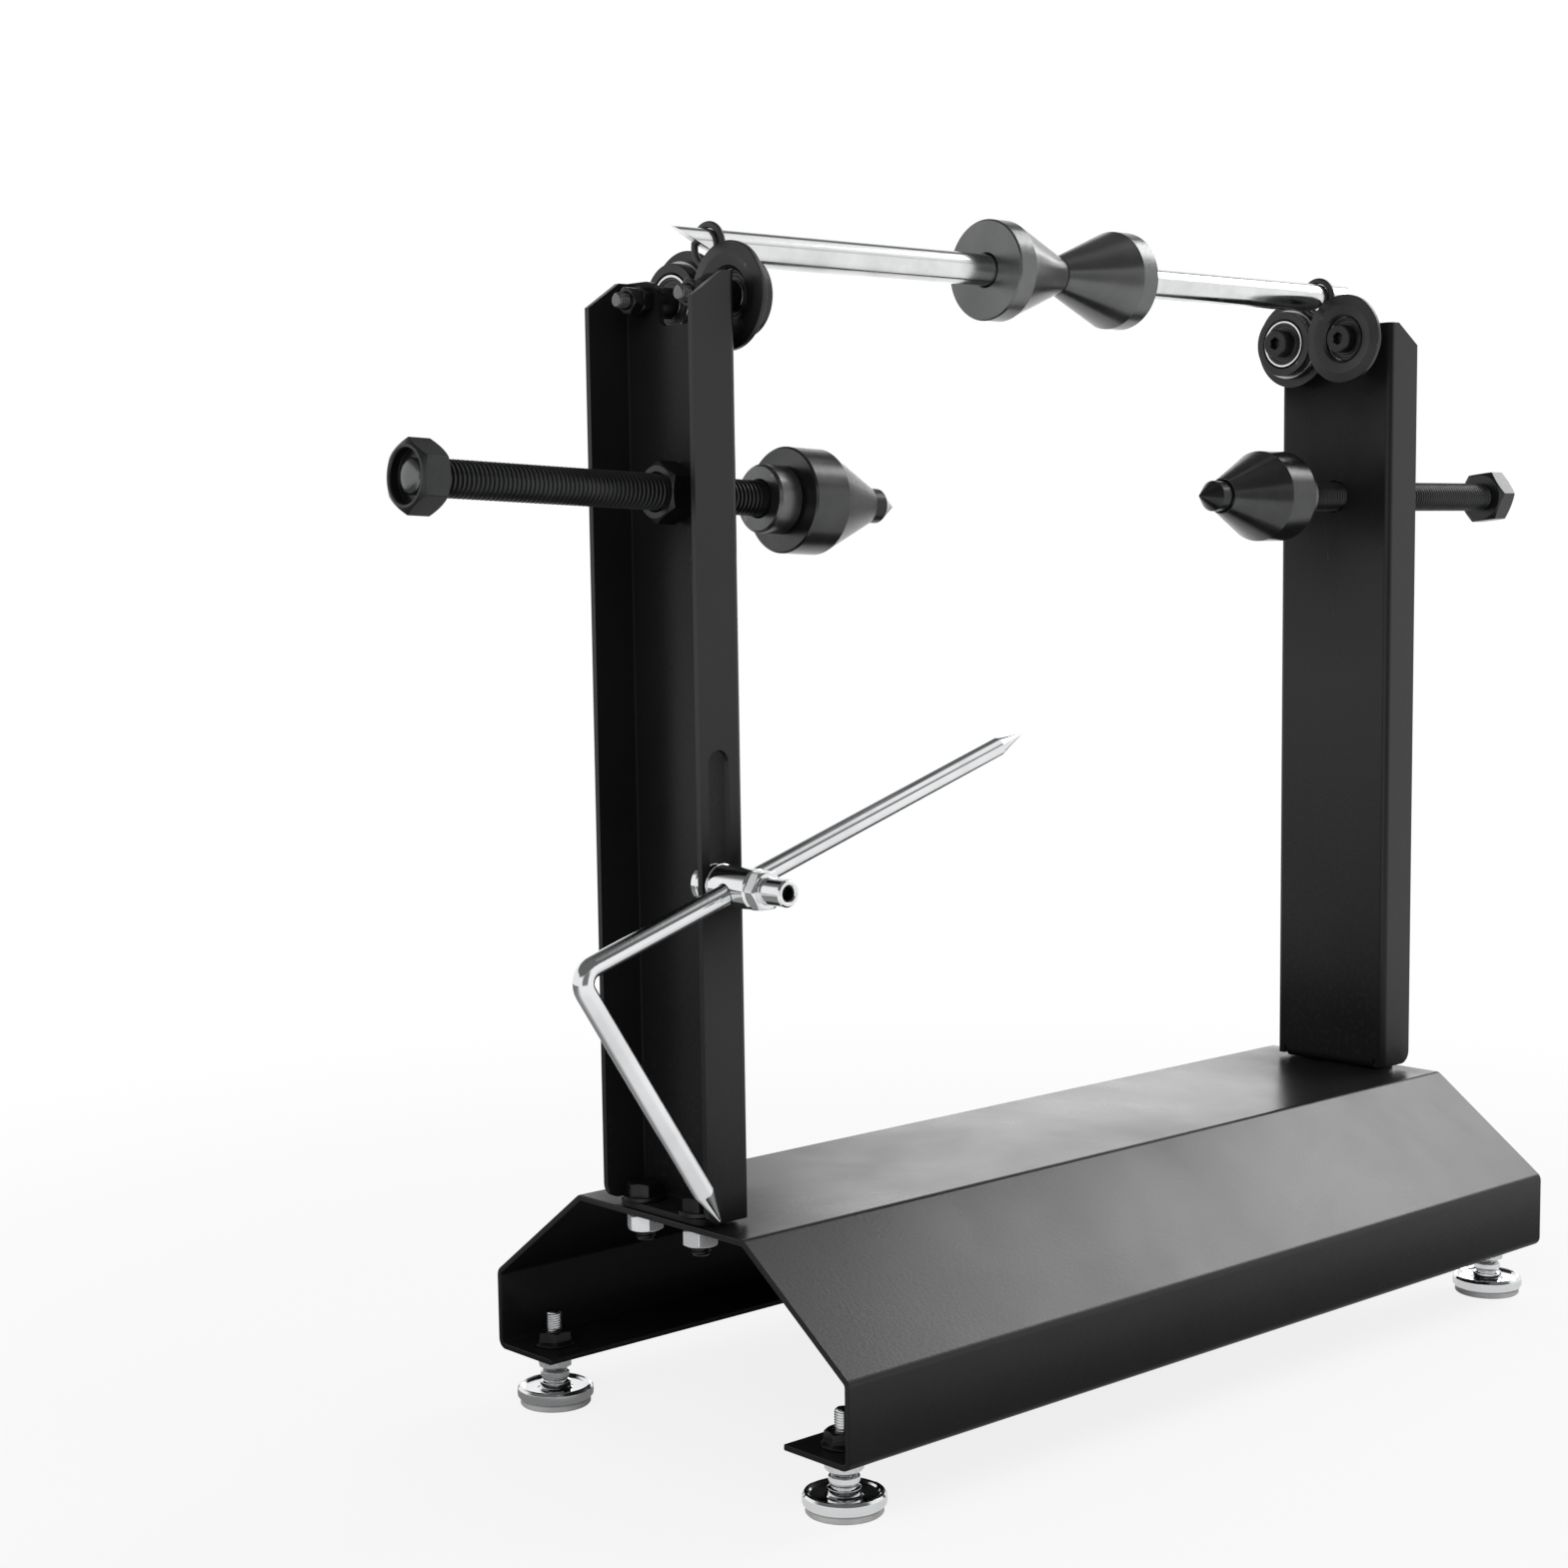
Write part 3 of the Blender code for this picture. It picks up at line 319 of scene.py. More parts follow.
def paint_edge_highlight(tree, shader, colour, highlight_tone, **highlight_settings):
    """Paint a lighter colour on the edges that stick out, as a painted highlight."""
    mask = place_group(tree, edge_highlight_group, **highlight_settings)
    tree.links.new(mix_colours(tree, mask, colour, highlight_tone), shader.inputs["Base Color"])


def bump(tree, shader, height, strength, distance):
    """A Bump node between a height and the shader's Normal."""
    links = {"Height": height, "Strength": strength, "Distance": distance}
    node = add_node(tree, "ShaderNodeBump", links)
    tree.links.new(node.outputs["Normal"], shader.inputs["Normal"])


print("material helpers ready")

# %% [markdown]
# ### Black powder coat
#
# The sheet metal is black and satin: its face shows almost nothing, and its bends and
# grazing faces turn grey with the light of the room. The orange peel is only felt, not
# seen. In nooks, such as a slot or the inside of a channel, less of the room is mirrored,
# and an Ambient Occlusion node tells how open a place is: it drives the gloss.

# %% Finish: black powder coat
coat_tree, coat_shader, coat_colour = new_finish(
    "black_powder_coat", (0.0095, 0.0095, 0.0100), (0.0135, 0.0135, 0.0140), (0.26, 0.34),
    patch=9.0, metallic=0.0,
)
# Painted highlight: a lighter grey painted on the coat's edges that stick out.
coat_highlight_tone = (0.035, 0.035, 0.036)
paint_edge_highlight(
    coat_tree, coat_shader, coat_colour, coat_highlight_tone, Threshold=0.60, Softness=0.10, Break_up=0.52
)
nook_size = 0.08
nook_open, nook_full = 0.76, 0.96
nook_gloss, open_gloss = 0.06, 0.36
nook = add_node(coat_tree, "ShaderNodeAmbientOcclusion", {"Distance": nook_size}, samples=8)
coat_gloss = ranged(
    coat_tree, nook.outputs["AO"], nook_open, nook_full, nook_gloss, open_gloss, smooth=True
)
coat_tree.links.new(coat_gloss, coat_shader.inputs["Specular IOR Level"])
coat_peel = place_group(coat_tree, peel_group, Wave_size=620.0, Grit_share=0.35)
bump(coat_tree, coat_shader, coat_peel, strength=0.30, distance=0.0001)
print("made black_powder_coat")

# %% [markdown]
# ### Black oxide
#
# The cones, the screwed rods, the bolts and the roller wheels are blackened steel. Oxide
# is thin, so the steel's tool rings show through it. A lighter grey is painted on the
# edges that stick out: a painted highlight. The five finishes differ in colour and gloss:
# the cones of the shaft are the palest, and threads hold oil, so they are darker. A row
# of the table is two colours, the roughness from least to most, the rings per metre, and
# the grey of the painted edge highlight.

# %% Finishes: black oxide
def black_oxide(name, dark, light, roughs, rings, highlight_tone):
    """Blackened steel with tool rings, oil patches and a painted highlight on its edges."""
    tree, shader, colour = new_finish(name, dark, light, roughs, patch=26.0, metallic=0.85)
    # A painted highlight: the edges that stick out get a lighter grey.
    paint_edge_highlight(tree, shader, colour, (highlight_tone,) * 3, Threshold=0.57, Softness=0.08, Break_up=0.45)
    turned_rings = place_group(tree, ring_group, Rings_per_metre=rings, Waver=0.3)
    bump(tree, shader, turned_rings, strength=0.35, distance=0.00008)


# The last number in a row is the grey of the painted edge highlight.
oxides = {
    "black_oxide_cones": ((0.125, 0.127, 0.128), (0.175, 0.177, 0.177), (0.20, 0.29), 2400, 0.32),
    "black_rim_cones": ((0.060, 0.061, 0.062), (0.090, 0.091, 0.092), (0.18, 0.26), 2400, 0.25),
    "black_oxide_threads": ((0.030, 0.031, 0.032), (0.055, 0.056, 0.057), (0.24, 0.36), 1500, 0.22),
    "black_bolts": ((0.024, 0.024, 0.025), (0.044, 0.044, 0.045), (0.30, 0.42), 1500, 0.14),
    "black_roller_wheels": ((0.036, 0.036, 0.037), (0.056, 0.056, 0.057), (0.30, 0.40), 3400, 0.16),
}
for name, values in oxides.items():
    black_oxide(name, *values)
print("made", len(oxides), "blackened finishes")

# %% [markdown]
# ### Bright steel
#
# Chrome, ground steel, bearing steel and zinc are all bright metals. What tells them
# apart is gloss and grain: chrome is a clean mirror, the ground shaft has fine rings
# from the wheel that ground it, the race of a bearing is polished and the band on a
# roller is darker. Zinc plating is softer, a touch blue and cloudy, and only partly
# metallic, so that it stays pale where it has nothing bright to mirror. A row is two
# colours, the roughness, how many smudges and rings there are and how deep the rings
# are, and for zinc how metallic it is.

# %% Finishes: bright steel
def bright_steel(name, light, dull, roughs, patch, rings, depth, metallic=1.0):
    """A bright metal with cloudy patches and fine rings."""
    tree, shader, _ = new_finish(name, light, dull, roughs, patch, metallic)
    turned_rings = place_group(tree, ring_group, Rings_per_metre=rings, Waver=0.5)
    bump(tree, shader, turned_rings, strength=0.25, distance=depth)


faint, shallow, deep = 0.00002, 0.00003, 0.00004
brights = {
    "bright_chrome": ((0.84, 0.85, 0.86), (0.74, 0.75, 0.76), (0.07, 0.15), 30, 900, shallow),
    "bright_ground_steel": ((0.80, 0.81, 0.81), (0.68, 0.69, 0.69), (0.13, 0.22), 40, 5200, faint),
    "bearing_steel": ((0.80, 0.80, 0.81), (0.68, 0.68, 0.69), (0.13, 0.24), 60, 4200, faint),
    "band_steel": ((0.44, 0.44, 0.45), (0.34, 0.34, 0.35), (0.18, 0.28), 60, 4200, faint),
    "zinc_nuts": ((0.90, 0.91, 0.93), (0.80, 0.81, 0.83), (0.24, 0.38), 90, 1600, deep, 0.60),
}
for name, values in brights.items():
    bright_steel(name, *values)
print("made", len(brights), "bright metals")

# %% [markdown]
# ### Rubber and nylon
#
# The small rings on the shaft are dull rubber with a fine grain. The pads under the feet
# are pale moulded nylon: a little light goes into it, so it has some subsurface, and
# its skin is finely stippled from the mould.

# %% Finishes: rubber and nylon
def moulded(name, first, second, roughs, patch, grain, strength, depth, **sockets):
    """A moulded material with a fine grain, given as its wave size and grit share."""
    tree, shader, _ = new_finish(name, first, second, roughs, patch, metallic=0.0, **sockets)
    skin_grain = place_group(tree, peel_group, Wave_size=grain[0], Grit_share=grain[1])
    bump(tree, shader, skin_grain, strength, depth)


moulded(
    "rubber_rings", (0.012, 0.012, 0.012), (0.030, 0.030, 0.030), (0.32, 0.46), 120.0,
    (2600.0, 0.6), 0.4, 0.00008,
)
moulded(
    "grey_nylon_pads", (0.62, 0.62, 0.61), (0.50, 0.50, 0.49), (0.36, 0.50), 50.0,
    (1800.0, 0.5), 0.3, 0.00006, Subsurface_Weight=0.15, Subsurface_Scale=0.002,
)
print("made", len(finishes), "finishes")

# %% [markdown]
# ## Tools for shaping
#
# Nearly every piece here is a skin over rings: a lathe piece is one outline carried
# round an axis, a nut is the same with a hexagon as its limit, a thread is a long
# screw-shaped strip. A few short functions make them all, so the corners can be
# softened by the same rule everywhere. A corner with no softness never catches the
# light, which is what gives a computer model away.

# %% Soft corners in a flat outline
soft_steps = 4
shallow_turn = math.radians(14)
side_share = 0.45


def softened(points, radius, closed=False):
    """Swap each sharp corner of a 2-D outline for a small curve."""
    result = []
    count = len(points)
    for index in range(count):
        corner = Vector(points[index])
        if not closed and index in (0, count - 1):
            result.append(corner)
            continue
        before = Vector(points[index - 1]) - corner
        after = Vector(points[(index + 1) % count]) - corner
        turn = math.pi - before.angle(after)
        if turn < shallow_turn:
            result.append(corner)
            continue
        longest = side_share * min(before.length, after.length)
        run = min(radius * math.tan(turn / 2), longest)
        start = corner + before.normalized() * run
        end = corner + after.normalized() * run
        for step in range(soft_steps + 1):
            part = step / soft_steps
            pull = corner * 2 * part * (1 - part)
            result.append(start * (1 - part) ** 2 + pull + end * part ** 2)
    return result


square_test = softened([(0, 0), (1, 0), (1, 1), (0, 1)], 0.1, closed=True)
print("a softened square has", len(square_test), "points")

# %% Rings of points become a mesh
sharp_angle = math.radians(40)


def shaded(mesh):
    """Smooth a mesh's shading everywhere but at its sharp edges."""
    mesh.shade_smooth()
    mesh.set_sharp_from_angle(angle=sharp_angle)
    return mesh


def finished(bm):
    """Turn a bmesh into a smooth-shaded mesh with outward normals."""
    bmesh.ops.recalc_face_normals(bm, faces=bm.faces[:])
    mesh = bpy.data.meshes.new("shape")
    bm.to_mesh(mesh)
    bm.free()
    return shaded(mesh)


def skin(rings, loop=False):
    """Join rings of equally many points by four-sided faces, and close the ends."""
    bm = bmesh.new()
    made = [[bm.verts.new(point) for point in ring] for ring in rings]
    pairs = list(zip(made, made[1:]))
    if loop:
        pairs.append((made[-1], made[0]))
    for low, high in pairs:
        for index in range(len(low)):
            bm.faces.new((low[index - 1], low[index], high[index], high[index - 1]))
    if not loop:
        bm.faces.new(made[0][::-1])
        bm.faces.new(made[-1])
    return finished(bm)


def polar(outline_at, angles, loop, edge):
    """Carry an outline round local Z, where the outline may change with the angle."""
    columns = [softened(outline_at(angle), edge, closed=loop) for angle in angles]
    rings = []
    for row in zip(*columns):
        ring = [
            (point.x * math.cos(angle), point.x * math.sin(angle), point.y)
            for point, angle in zip(row, angles)
        ]
        rings.append(ring)
    return skin(rings, loop)


print("skin tools ready")

# %% [markdown]
# ### The lathe
#
# `lathe` carries one outline of (radius, height) points round the Z axis. An open
# outline is closed by flat ends, and a ring, such as a cone with a bore, is drawn as a
# closed loop. `around` gives evenly spaced angles.

# %% The lathe
soft_edge = 0.0004
lathe_steps = 72


def around(steps):
    return [math.tau * step / steps for step in range(steps)]


def lathe(outline, loop=False, edge=soft_edge, steps=lathe_steps):
    return polar(lambda angle: outline, around(steps), loop, edge)


print("lathe ready")

# %% [markdown]
# ### Hexagons
#
# Nuts and bolt heads are cut from hexagonal bar, and their corners are then turned off
# at 30 degrees, which leaves the curved line that every nut shows. The distance from
# the axis to the side of a hexagon, as a function of the angle, is all that is needed:
# where it reaches further out, the turned corner lies lower.

# %% Hexagons
sixth = math.tau / 6
corner_softness = 0.0005
side_samples = 9


def corner_arc(across, softness=corner_softness):
    """Centre distance of a rounded hexagon corner, and the angle where its side starts."""
    centre = (across / 2 - softness) / math.cos(sixth / 2)
    side_x = centre + softness * math.cos(sixth / 2)
    return centre, math.atan2(softness * math.sin(sixth / 2), side_x)


def hex_reach(angle, across, softness=corner_softness):
    """How far a rounded hexagon reaches from its axis in one direction."""
    centre, touch = corner_arc(across, softness)
    turn = abs((angle + sixth / 2) % sixth - sixth / 2)
    if turn >= touch:
        return across / 2 / math.cos(sixth / 2 - turn)
    return centre * math.cos(turn) + math.sqrt(softness**2 - (centre * math.sin(turn)) ** 2)


def hex_angles(across, softness=corner_softness):
    """Angles round a hexagon, close together at its corners."""
    touch = corner_arc(across, softness)[1]
    angles = []
    for side in range(6):
        corner = side * sixth
        angles += [corner, corner + touch / 2]
        for sample in range(side_samples):
            part = sample / (side_samples - 1)
            angles.append(corner + touch + (sixth - 2 * touch) * part)
        angles.append(corner + sixth - touch / 2)
    return angles


print("corner of a 13 mm nut in mm", round(hex_reach(0, 0.013) * 1000, 2))

# %% Nuts and bolt heads
crown_slope = math.tan(math.radians(30))
face_share = 0.95
bore_chamfer = 0.0005
nut_edge = 0.0002


def hexed(outline_at, across, face=0.0, loop=True, edge=nut_edge, softness=corner_softness):
    """Carry outline_at(reach, fall) round a hexagon. Fall is how deep a corner is turned off."""

    def outline(angle):
        reach = hex_reach(angle, across, softness)
        return outline_at(reach, (reach - face) * crown_slope)

    return polar(outline, hex_angles(across, softness), loop, edge)


def hex_nut(across, length, bore):
    """A nut along local Z, crowned at both ends, with a chamfered bore."""
    face = across / 2 * face_share

    def outline_at(reach, fall):
        return [
            (bore, bore_chamfer), (bore + bore_chamfer, 0), (face, 0), (reach, fall),
            (reach, length - fall), (face, length), (bore + bore_chamfer, length),
            (bore, length - bore_chamfer),
        ]

    return hexed(outline_at, across, face)


def hex_head(across, height, collar, collar_height):
    """A bolt head along local Z, crowned on top, on its own round washer face."""
    face = across / 2 * face_share
    top = collar_height + height

    def outline_at(reach, fall):
        return [
            (collar / 2, 0), (collar, 0), (collar, collar_height), (reach, collar_height),
            (reach, top - fall), (face, top), (face / 2, top),
        ]

    return hexed(outline_at, across, face, loop=False)


print("nuts ready")

# %% [markdown]
# ### Screw threads
#
# A thread is a ridge that climbs by one pitch in each turn. The rows of this mesh climb
# with it: every row starts where the one a pitch lower ends. Rows are held between the
# two ends of the rod, where they fall together and are merged, and a short cone takes
# the ridge down there, as a real screw starts.

# %% Screw threads
thread_rows = ((0.0, 0.0), (0.22, 0.0), (0.5, 1.0), (0.72, 1.0))
merge_reach = 2e-6


def close_ends(bm):
    """Close every open edge loop with a face."""
    edges = [edge for edge in bm.edges if edge.is_boundary]
    bmesh.ops.holes_fill(bm, edges=edges, sides=0)


def thread(radius, pitch, low, high, steps=40, depth_share=0.55, point=0.0008):
    """A screwed rod along local Z from low to high, with coned ends."""
    depth = pitch * depth_share
    turns = math.ceil((high - low) / pitch) + 2
    rows = []
    for turn_number in range(turns):
        for share, rise in thread_rows:
            start = low + (turn_number - 1 + share) * pitch
            row = []
            for step in range(steps + 1):
                along = min(max(start + pitch * step / steps, low), high)
                reach = radius - depth * (1 - rise)
                reach = min(reach, radius - point + min(along - low, high - along))
                angle = math.tau * step / steps
                row.append((reach * math.cos(angle), reach * math.sin(angle), along))
            rows.append(row)
    bm = bmesh.new()
    made = [[bm.verts.new(spot) for spot in row] for row in rows]
    for low_row, high_row in zip(made, made[1:]):
        for index in range(steps):
            bm.faces.new((low_row[index], low_row[index + 1], high_row[index + 1], high_row[index]))
    bmesh.ops.remove_doubles(bm, verts=bm.verts[:], dist=merge_reach)
    bmesh.ops.dissolve_degenerate(bm, dist=merge_reach, edges=bm.edges[:])
    close_ends(bm)
    return finished(bm)


thread_test = thread(0.007, 0.002, 0, 0.02)
print("a 20 mm thread has", len(thread_test.polygons), "faces")
bpy.data.meshes.remove(thread_test)

# %% [markdown]
# ### Placing a piece
#
# `fit` links a mesh as an object, gives it a finish, ties it to the body of the model it
# moves with, and hides the solid it stands for. The Weighted Normal modifier keeps large
# flat faces flat in the light, although their soft corners share their points.

# %% Placing a piece
pieces = []


def fit(name, mesh, finish, body, place, turn=None, solid=None):
    """Link a mesh in place, dress it, tie it to its body, and hide the solid it stands for."""
    mesh.name = name
    mesh.materials.append(finishes[finish])
    obj = linked(name, mesh)
    obj.matrix_world = placed(place, turn)
    even = obj.modifiers.new("even_shading", "WEIGHTED_NORMAL")
    even.keep_sharp = True
    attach(obj, body)
    if solid:
        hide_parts(solid)
    pieces.append(obj)


def joined(*parts):
    """Several meshes as one, such as a head and its thread."""
    bm = bmesh.new()
    for mesh in parts:
        bm.from_mesh(mesh)
        bpy.data.meshes.remove(mesh)
    return finished(bm)


def moved(mesh, place, turn=None):
    """Shift a mesh, after an optional turn."""
    mesh.transform(placed(place, turn))
    return mesh


def along_x(side):
    """Turn local +Z to world +X (side 1) or -X (side -1)."""
    return turned(90 * side, "Y")


LEFT, RIGHT = -1, 1
FRONT, REAR = -1, 1
sides = ((LEFT, "left"), (RIGHT, "right"))
ends = ((FRONT, "front"), (REAR, "rear"))
corners = [(side, end, word + "_" + end_word) for side, word in sides for end, end_word in ends]
print("corners:", [tag for _, _, tag in corners])

# %% [markdown]
# ## Where things are
#
# Every piece goes where its solid stands. The numbers below repeat the main sizes of the
# model in metres: heights are counted from the flat top of the base, and `top_z` lifts
# them to the floor's own zero. X runs from the left upright to the right one.

# %% Main places
top_z = 0.0988
base_length = 0.450
sheet = 0.0025
gap = 0.0003
web_inner_x = 0.2045
web_outer_x = web_inner_x + sheet
peak = 0.360
lug_radius = 0.0077
axle_height = peak - lug_radius
roller_y = 0.0184
shaft_height = 0.372603
truing_height = 0.279
bolt_x, bolt_y = 0.2173, 0.017
foot_x, foot_y = 0.210, 0.089
slot_x = 0.217
pointer_height = 0.132
shaft_place = (0, 0, top_z + shaft_height)
print("the shaft is", round(shaft_place[2] * 1000, 1), "mm above the floor")

# %% [markdown]
# ## Bent sheet metal
#
# The base and the uprights are folded from flat sheet, and a fold is never a sharp
# corner: the outside of a bend is round. So the middle line of the sheet is drawn first,
# each corner is swapped for a true arc, and the line is then given its thickness on both
# sides. Drawn out along one direction, that outline is the bent sheet.

# %% The outline of a bent sheet
bend_steps = 8


def left_of(way):
    """The direction a quarter turn to the left."""
    return Vector((-way.y, way.x))


def turned_way(way, angle):
    """A flat direction, turned to the left."""
    cosine, sine = math.cos(angle), math.sin(angle)
    return Vector((way.x * cosine - way.y * sine, way.x * sine + way.y * cosine))


def bent_line(path, radius):
    """Points of a path with round bends, each with the direction across the sheet."""
    points = [Vector(point) for point in path]
    line = [(points[0], left_of((points[1] - points[0]).normalized()))]
    for before, corner, after in zip(points, points[1:], points[2:]):
        way_in = (corner - before).normalized()
        way_out = (after - corner).normalized()
        turn = math.atan2(way_in.cross(way_out), way_in.dot(way_out))
        side = math.copysign(1, turn)
        start = corner - way_in * radius * math.tan(abs(turn) / 2)
        centre = start + left_of(way_in) * radius * side
        for step in range(bend_steps + 1):
            across = left_of(turned_way(way_in, turn * step / bend_steps))
            line.append((centre - across * radius * side, across))
    line.append((points[-1], left_of((points[-1] - points[-2]).normalized())))
    return line


def strip(path, thickness, radius):
    """The closed outline of a sheet along a bent line."""
    line = bent_line(path, radius)
    upper = [point + across * thickness / 2 for point, across in line]
    lower = [point - across * thickness / 2 for point, across in line]
    return upper + lower[::-1]


def mirrored(half):
    """The other half of an outline, back to front and with its first number negated."""
    return [(-across, along) for across, along in half[::-1]]


print("a right-angle bend has", len(bent_line([(0, 0), (1, 0), (1, 1)], 0.1)), "points")

# %% [markdown]
# ### Cutting, and easing the edges
#
# Holes, slots and outlines are cut with Boolean modifiers, as a laser would cut them. The
# cut edges of painted sheet are never knife-sharp, because the powder builds up there: a
# small Bevel on every steep edge gives them their thin bright line.

# %% Cutting tools
edge_angle = math.radians(35)


def drawn_out(outline, along):
    """Close an outline of 3-D points and draw it out along one direction."""
    start = [Vector(point) for point in outline]
    return skin([start, [point + Vector(along) for point in start]])


def rod_tool(radius, low, high, place, turn=None, steps=40):
    """A round bar to cut a hole with."""
    return moved(lathe([(radius, low), (radius, high)], steps=steps), place, turn)


def settled(obj):
    """The mesh of an object after its modifiers. The object itself is removed."""
    bpy.context.view_layer.update()
    graph = bpy.context.evaluated_depsgraph_get()
    mesh = bpy.data.meshes.new_from_object(obj.evaluated_get(graph))
    bpy.data.objects.remove(obj, do_unlink=True)
    return shaded(mesh)


def carved(mesh, keeps=(), cuts=()):
    """Keep what lies inside some meshes, and cut others away, with exact Booleans."""
    blank = linked("blank", mesh)
    steps = [("INTERSECT", tool_mesh) for tool_mesh in keeps]
    steps += [("DIFFERENCE", tool_mesh) for tool_mesh in cuts]
    tools = []
    for operation, tool_mesh in steps:
        boolean = blank.modifiers.new("cut", "BOOLEAN")
        boolean.operation = operation
        boolean.object = linked("tool", tool_mesh)
        tools.append(boolean.object)
    result = settled(blank)
    for tool in tools:
        bpy.data.objects.remove(tool, do_unlink=True)
    result.materials.clear()
    return result


def eased(mesh, width):
    """Round every steep edge a little with a Bevel modifier."""
    blank = linked("blank", mesh)
    bevel = blank.modifiers.new("ease", "BEVEL")
    bevel.width = width
    bevel.segments = 3
    bevel.limit_method = "ANGLE"
    bevel.angle_limit = edge_angle
    bevel.harden_normals = False
    return settled(blank)


print("cutting tools ready")

# %% [markdown]
# ## The base
#
# One sheet is bent into a flat top, two slopes, two upright skirts and two lips that
# turn in under it. The section is drawn in the YZ plane and runs along X. The laser cut
# four holes for the upright bolts and four for the feet.

# %% The base
skirt_y, lip_y, top_y = 0.10675, 0.072, 0.050
lip_middle, skirt_top = -0.07475, -0.043
bolt_hole = 0.0043
foot_hole = 0.0038
sheet_edge = 0.0005
base_bend = 0.003
base_half = [(-lip_y, lip_middle), (-skirt_y, lip_middle), (-skirt_y, skirt_top)]
base_half += [(-top_y, -sheet / 2)]
base_section = strip(base_half + mirrored(base_half), sheet, base_bend)
base_blank = drawn_out([(-base_length / 2, p.x, p.y) for p in base_section], (base_length, 0, 0))
base_cuts = []
for side, end, _ in corners:
    base_cuts.append(rod_tool(bolt_hole, -0.006, 0.003, (side * bolt_x, end * bolt_y, 0)))
    base_cuts.append(rod_tool(foot_hole, -0.080, -0.070, (side * foot_x, end * foot_y, 0)))
base_mesh = eased(carved(base_blank, cuts=[joined(*base_cuts)]), sheet_edge)
print("base faces", len(base_mesh.polygons))
fit("sheet_base", base_mesh, "black_powder_coat", "frame", (0, 0, top_z), None, "base_plate")

# %% [markdown]
# ## The uprights
#
# An upright is a channel: a web that faces the wheel and two flanges that point outwards.
# Its top is cut to two round lugs for the roller axles with a dip between them, the
# flanges slope down, and the foot of the web is bent outwards into a tab that is bolted
# to the base. It is easiest to cut the channel while its tab still hangs straight down,
# just as the shop does, and to bend the tab last.

# %% Outlines of an upright
free_x = 0.226
flange_low = 0.002
flange_corner = 0.006
flange_y = 0.03075
flange_front = -flange_y - sheet / 2
channel_bend = 0.002
channel_low = -0.018
middle_x = web_inner_x + sheet / 2
cut_x = web_outer_x + gap
tab_end = -0.01541
tab_half = 0.026
tab_corner = 0.004
relief = 0.0012
relief_y = tab_half + relief
bend_start = 0.00455
dip_low = 0.3425
flange_drop, slope_start = 0.010, 0.004
tool_x, tool_half, tool_low = 0.2000, 0.040, -0.020


def arc(centre_x, centre_y, radius, start, end, steps=bend_steps):
    """Points of an arc between two angles in degrees."""
    points = []
    for step in range(steps + 1):
        angle = math.radians(start + (end - start) * step / steps)
        points.append((centre_x + radius * math.cos(angle), centre_y + radius * math.sin(angle)))
    return points


channel_half = [(free_x, -flange_y), (middle_x, -flange_y)]
channel_path = channel_half + [(x, -y) for x, y in channel_half[::-1]]
channel_outline = [(p.x, p.y, channel_low) for p in strip(channel_path, sheet, channel_bend)]

side_view = [(tool_x, tool_low), (cut_x, tool_low), (cut_x, flange_low)]
side_view += arc(free_x - flange_corner, flange_low + flange_corner, flange_corner, -90, 0)
side_view += [(free_x, peak - flange_drop), (web_outer_x + slope_start, peak), (tool_x, peak)]

front_half = [(tool_half, peak + 0.002), (tool_half, flange_low), (relief_y, flange_low)]
front_half += [(relief_y, bend_start + relief), (tab_half, bend_start + relief)]
front_half += arc(tab_half - tab_corner, tab_end + tab_corner, tab_corner, 0, -90)
front_view = front_half + mirrored(front_half)

dip_half = [(-roller_y, peak + 0.004), (-roller_y, peak)]
dip_half += arc(-roller_y, axle_height, lug_radius, 90, 0)[1:]
dip_half += arc(-roller_y + lug_radius * 1.5, dip_low + lug_radius / 2, lug_radius / 2, 180, 270)
dip = dip_half + mirrored(dip_half)
print("outlines have", len(side_view), len(front_view), len(dip), "points")

# %% [markdown]
# ### Bending the tab
#
# The sheet below `bend_start` is wound round a bend: a point at a distance s down the
# sheet turns by s over the bend's radius, until a quarter turn is reached, and goes
# straight on from there. The mesh needs a few cross lines in the bend to follow it.

# %% Bend the tab
tab_bend = 0.003


def fold_tab(mesh):
    """Wind the hanging tab outwards through a quarter turn."""
    bm = bmesh.new()
    bm.from_mesh(mesh)
    quarter = tab_bend * math.pi / 2
    for step in range(bend_steps + 1):
        bmesh.ops.bisect_plane(
            bm,
            geom=bm.verts[:] + bm.edges[:] + bm.faces[:],
            plane_co=(0, 0, bend_start - quarter * step / bend_steps),
            plane_no=(0, 0, 1),
        )
    for vert in bm.verts:
        below = bend_start - vert.co.z
        if below <= 0 or abs(vert.co.y) > tab_half + relief / 2:
            continue
        turn = min(below / tab_bend, math.pi / 2)
        reach = tab_bend - (vert.co.x - middle_x)
        straight = max(below - quarter, 0)
        vert.co.x = middle_x + tab_bend - reach * math.cos(turn) + straight
        vert.co.z = bend_start - reach * math.sin(turn)
    return finished(bm)


print("tab bends by", tab_bend * 1000, "mm")

# %% Cut, bend and place both uprights
rod_hole = 0.0076
axle_hole = 0.0033
hanging_bolt = -0.008712
slot_half = 0.005
drill = (-0.01, 0.01)
slot_low, slot_high = 0.1315, 0.178


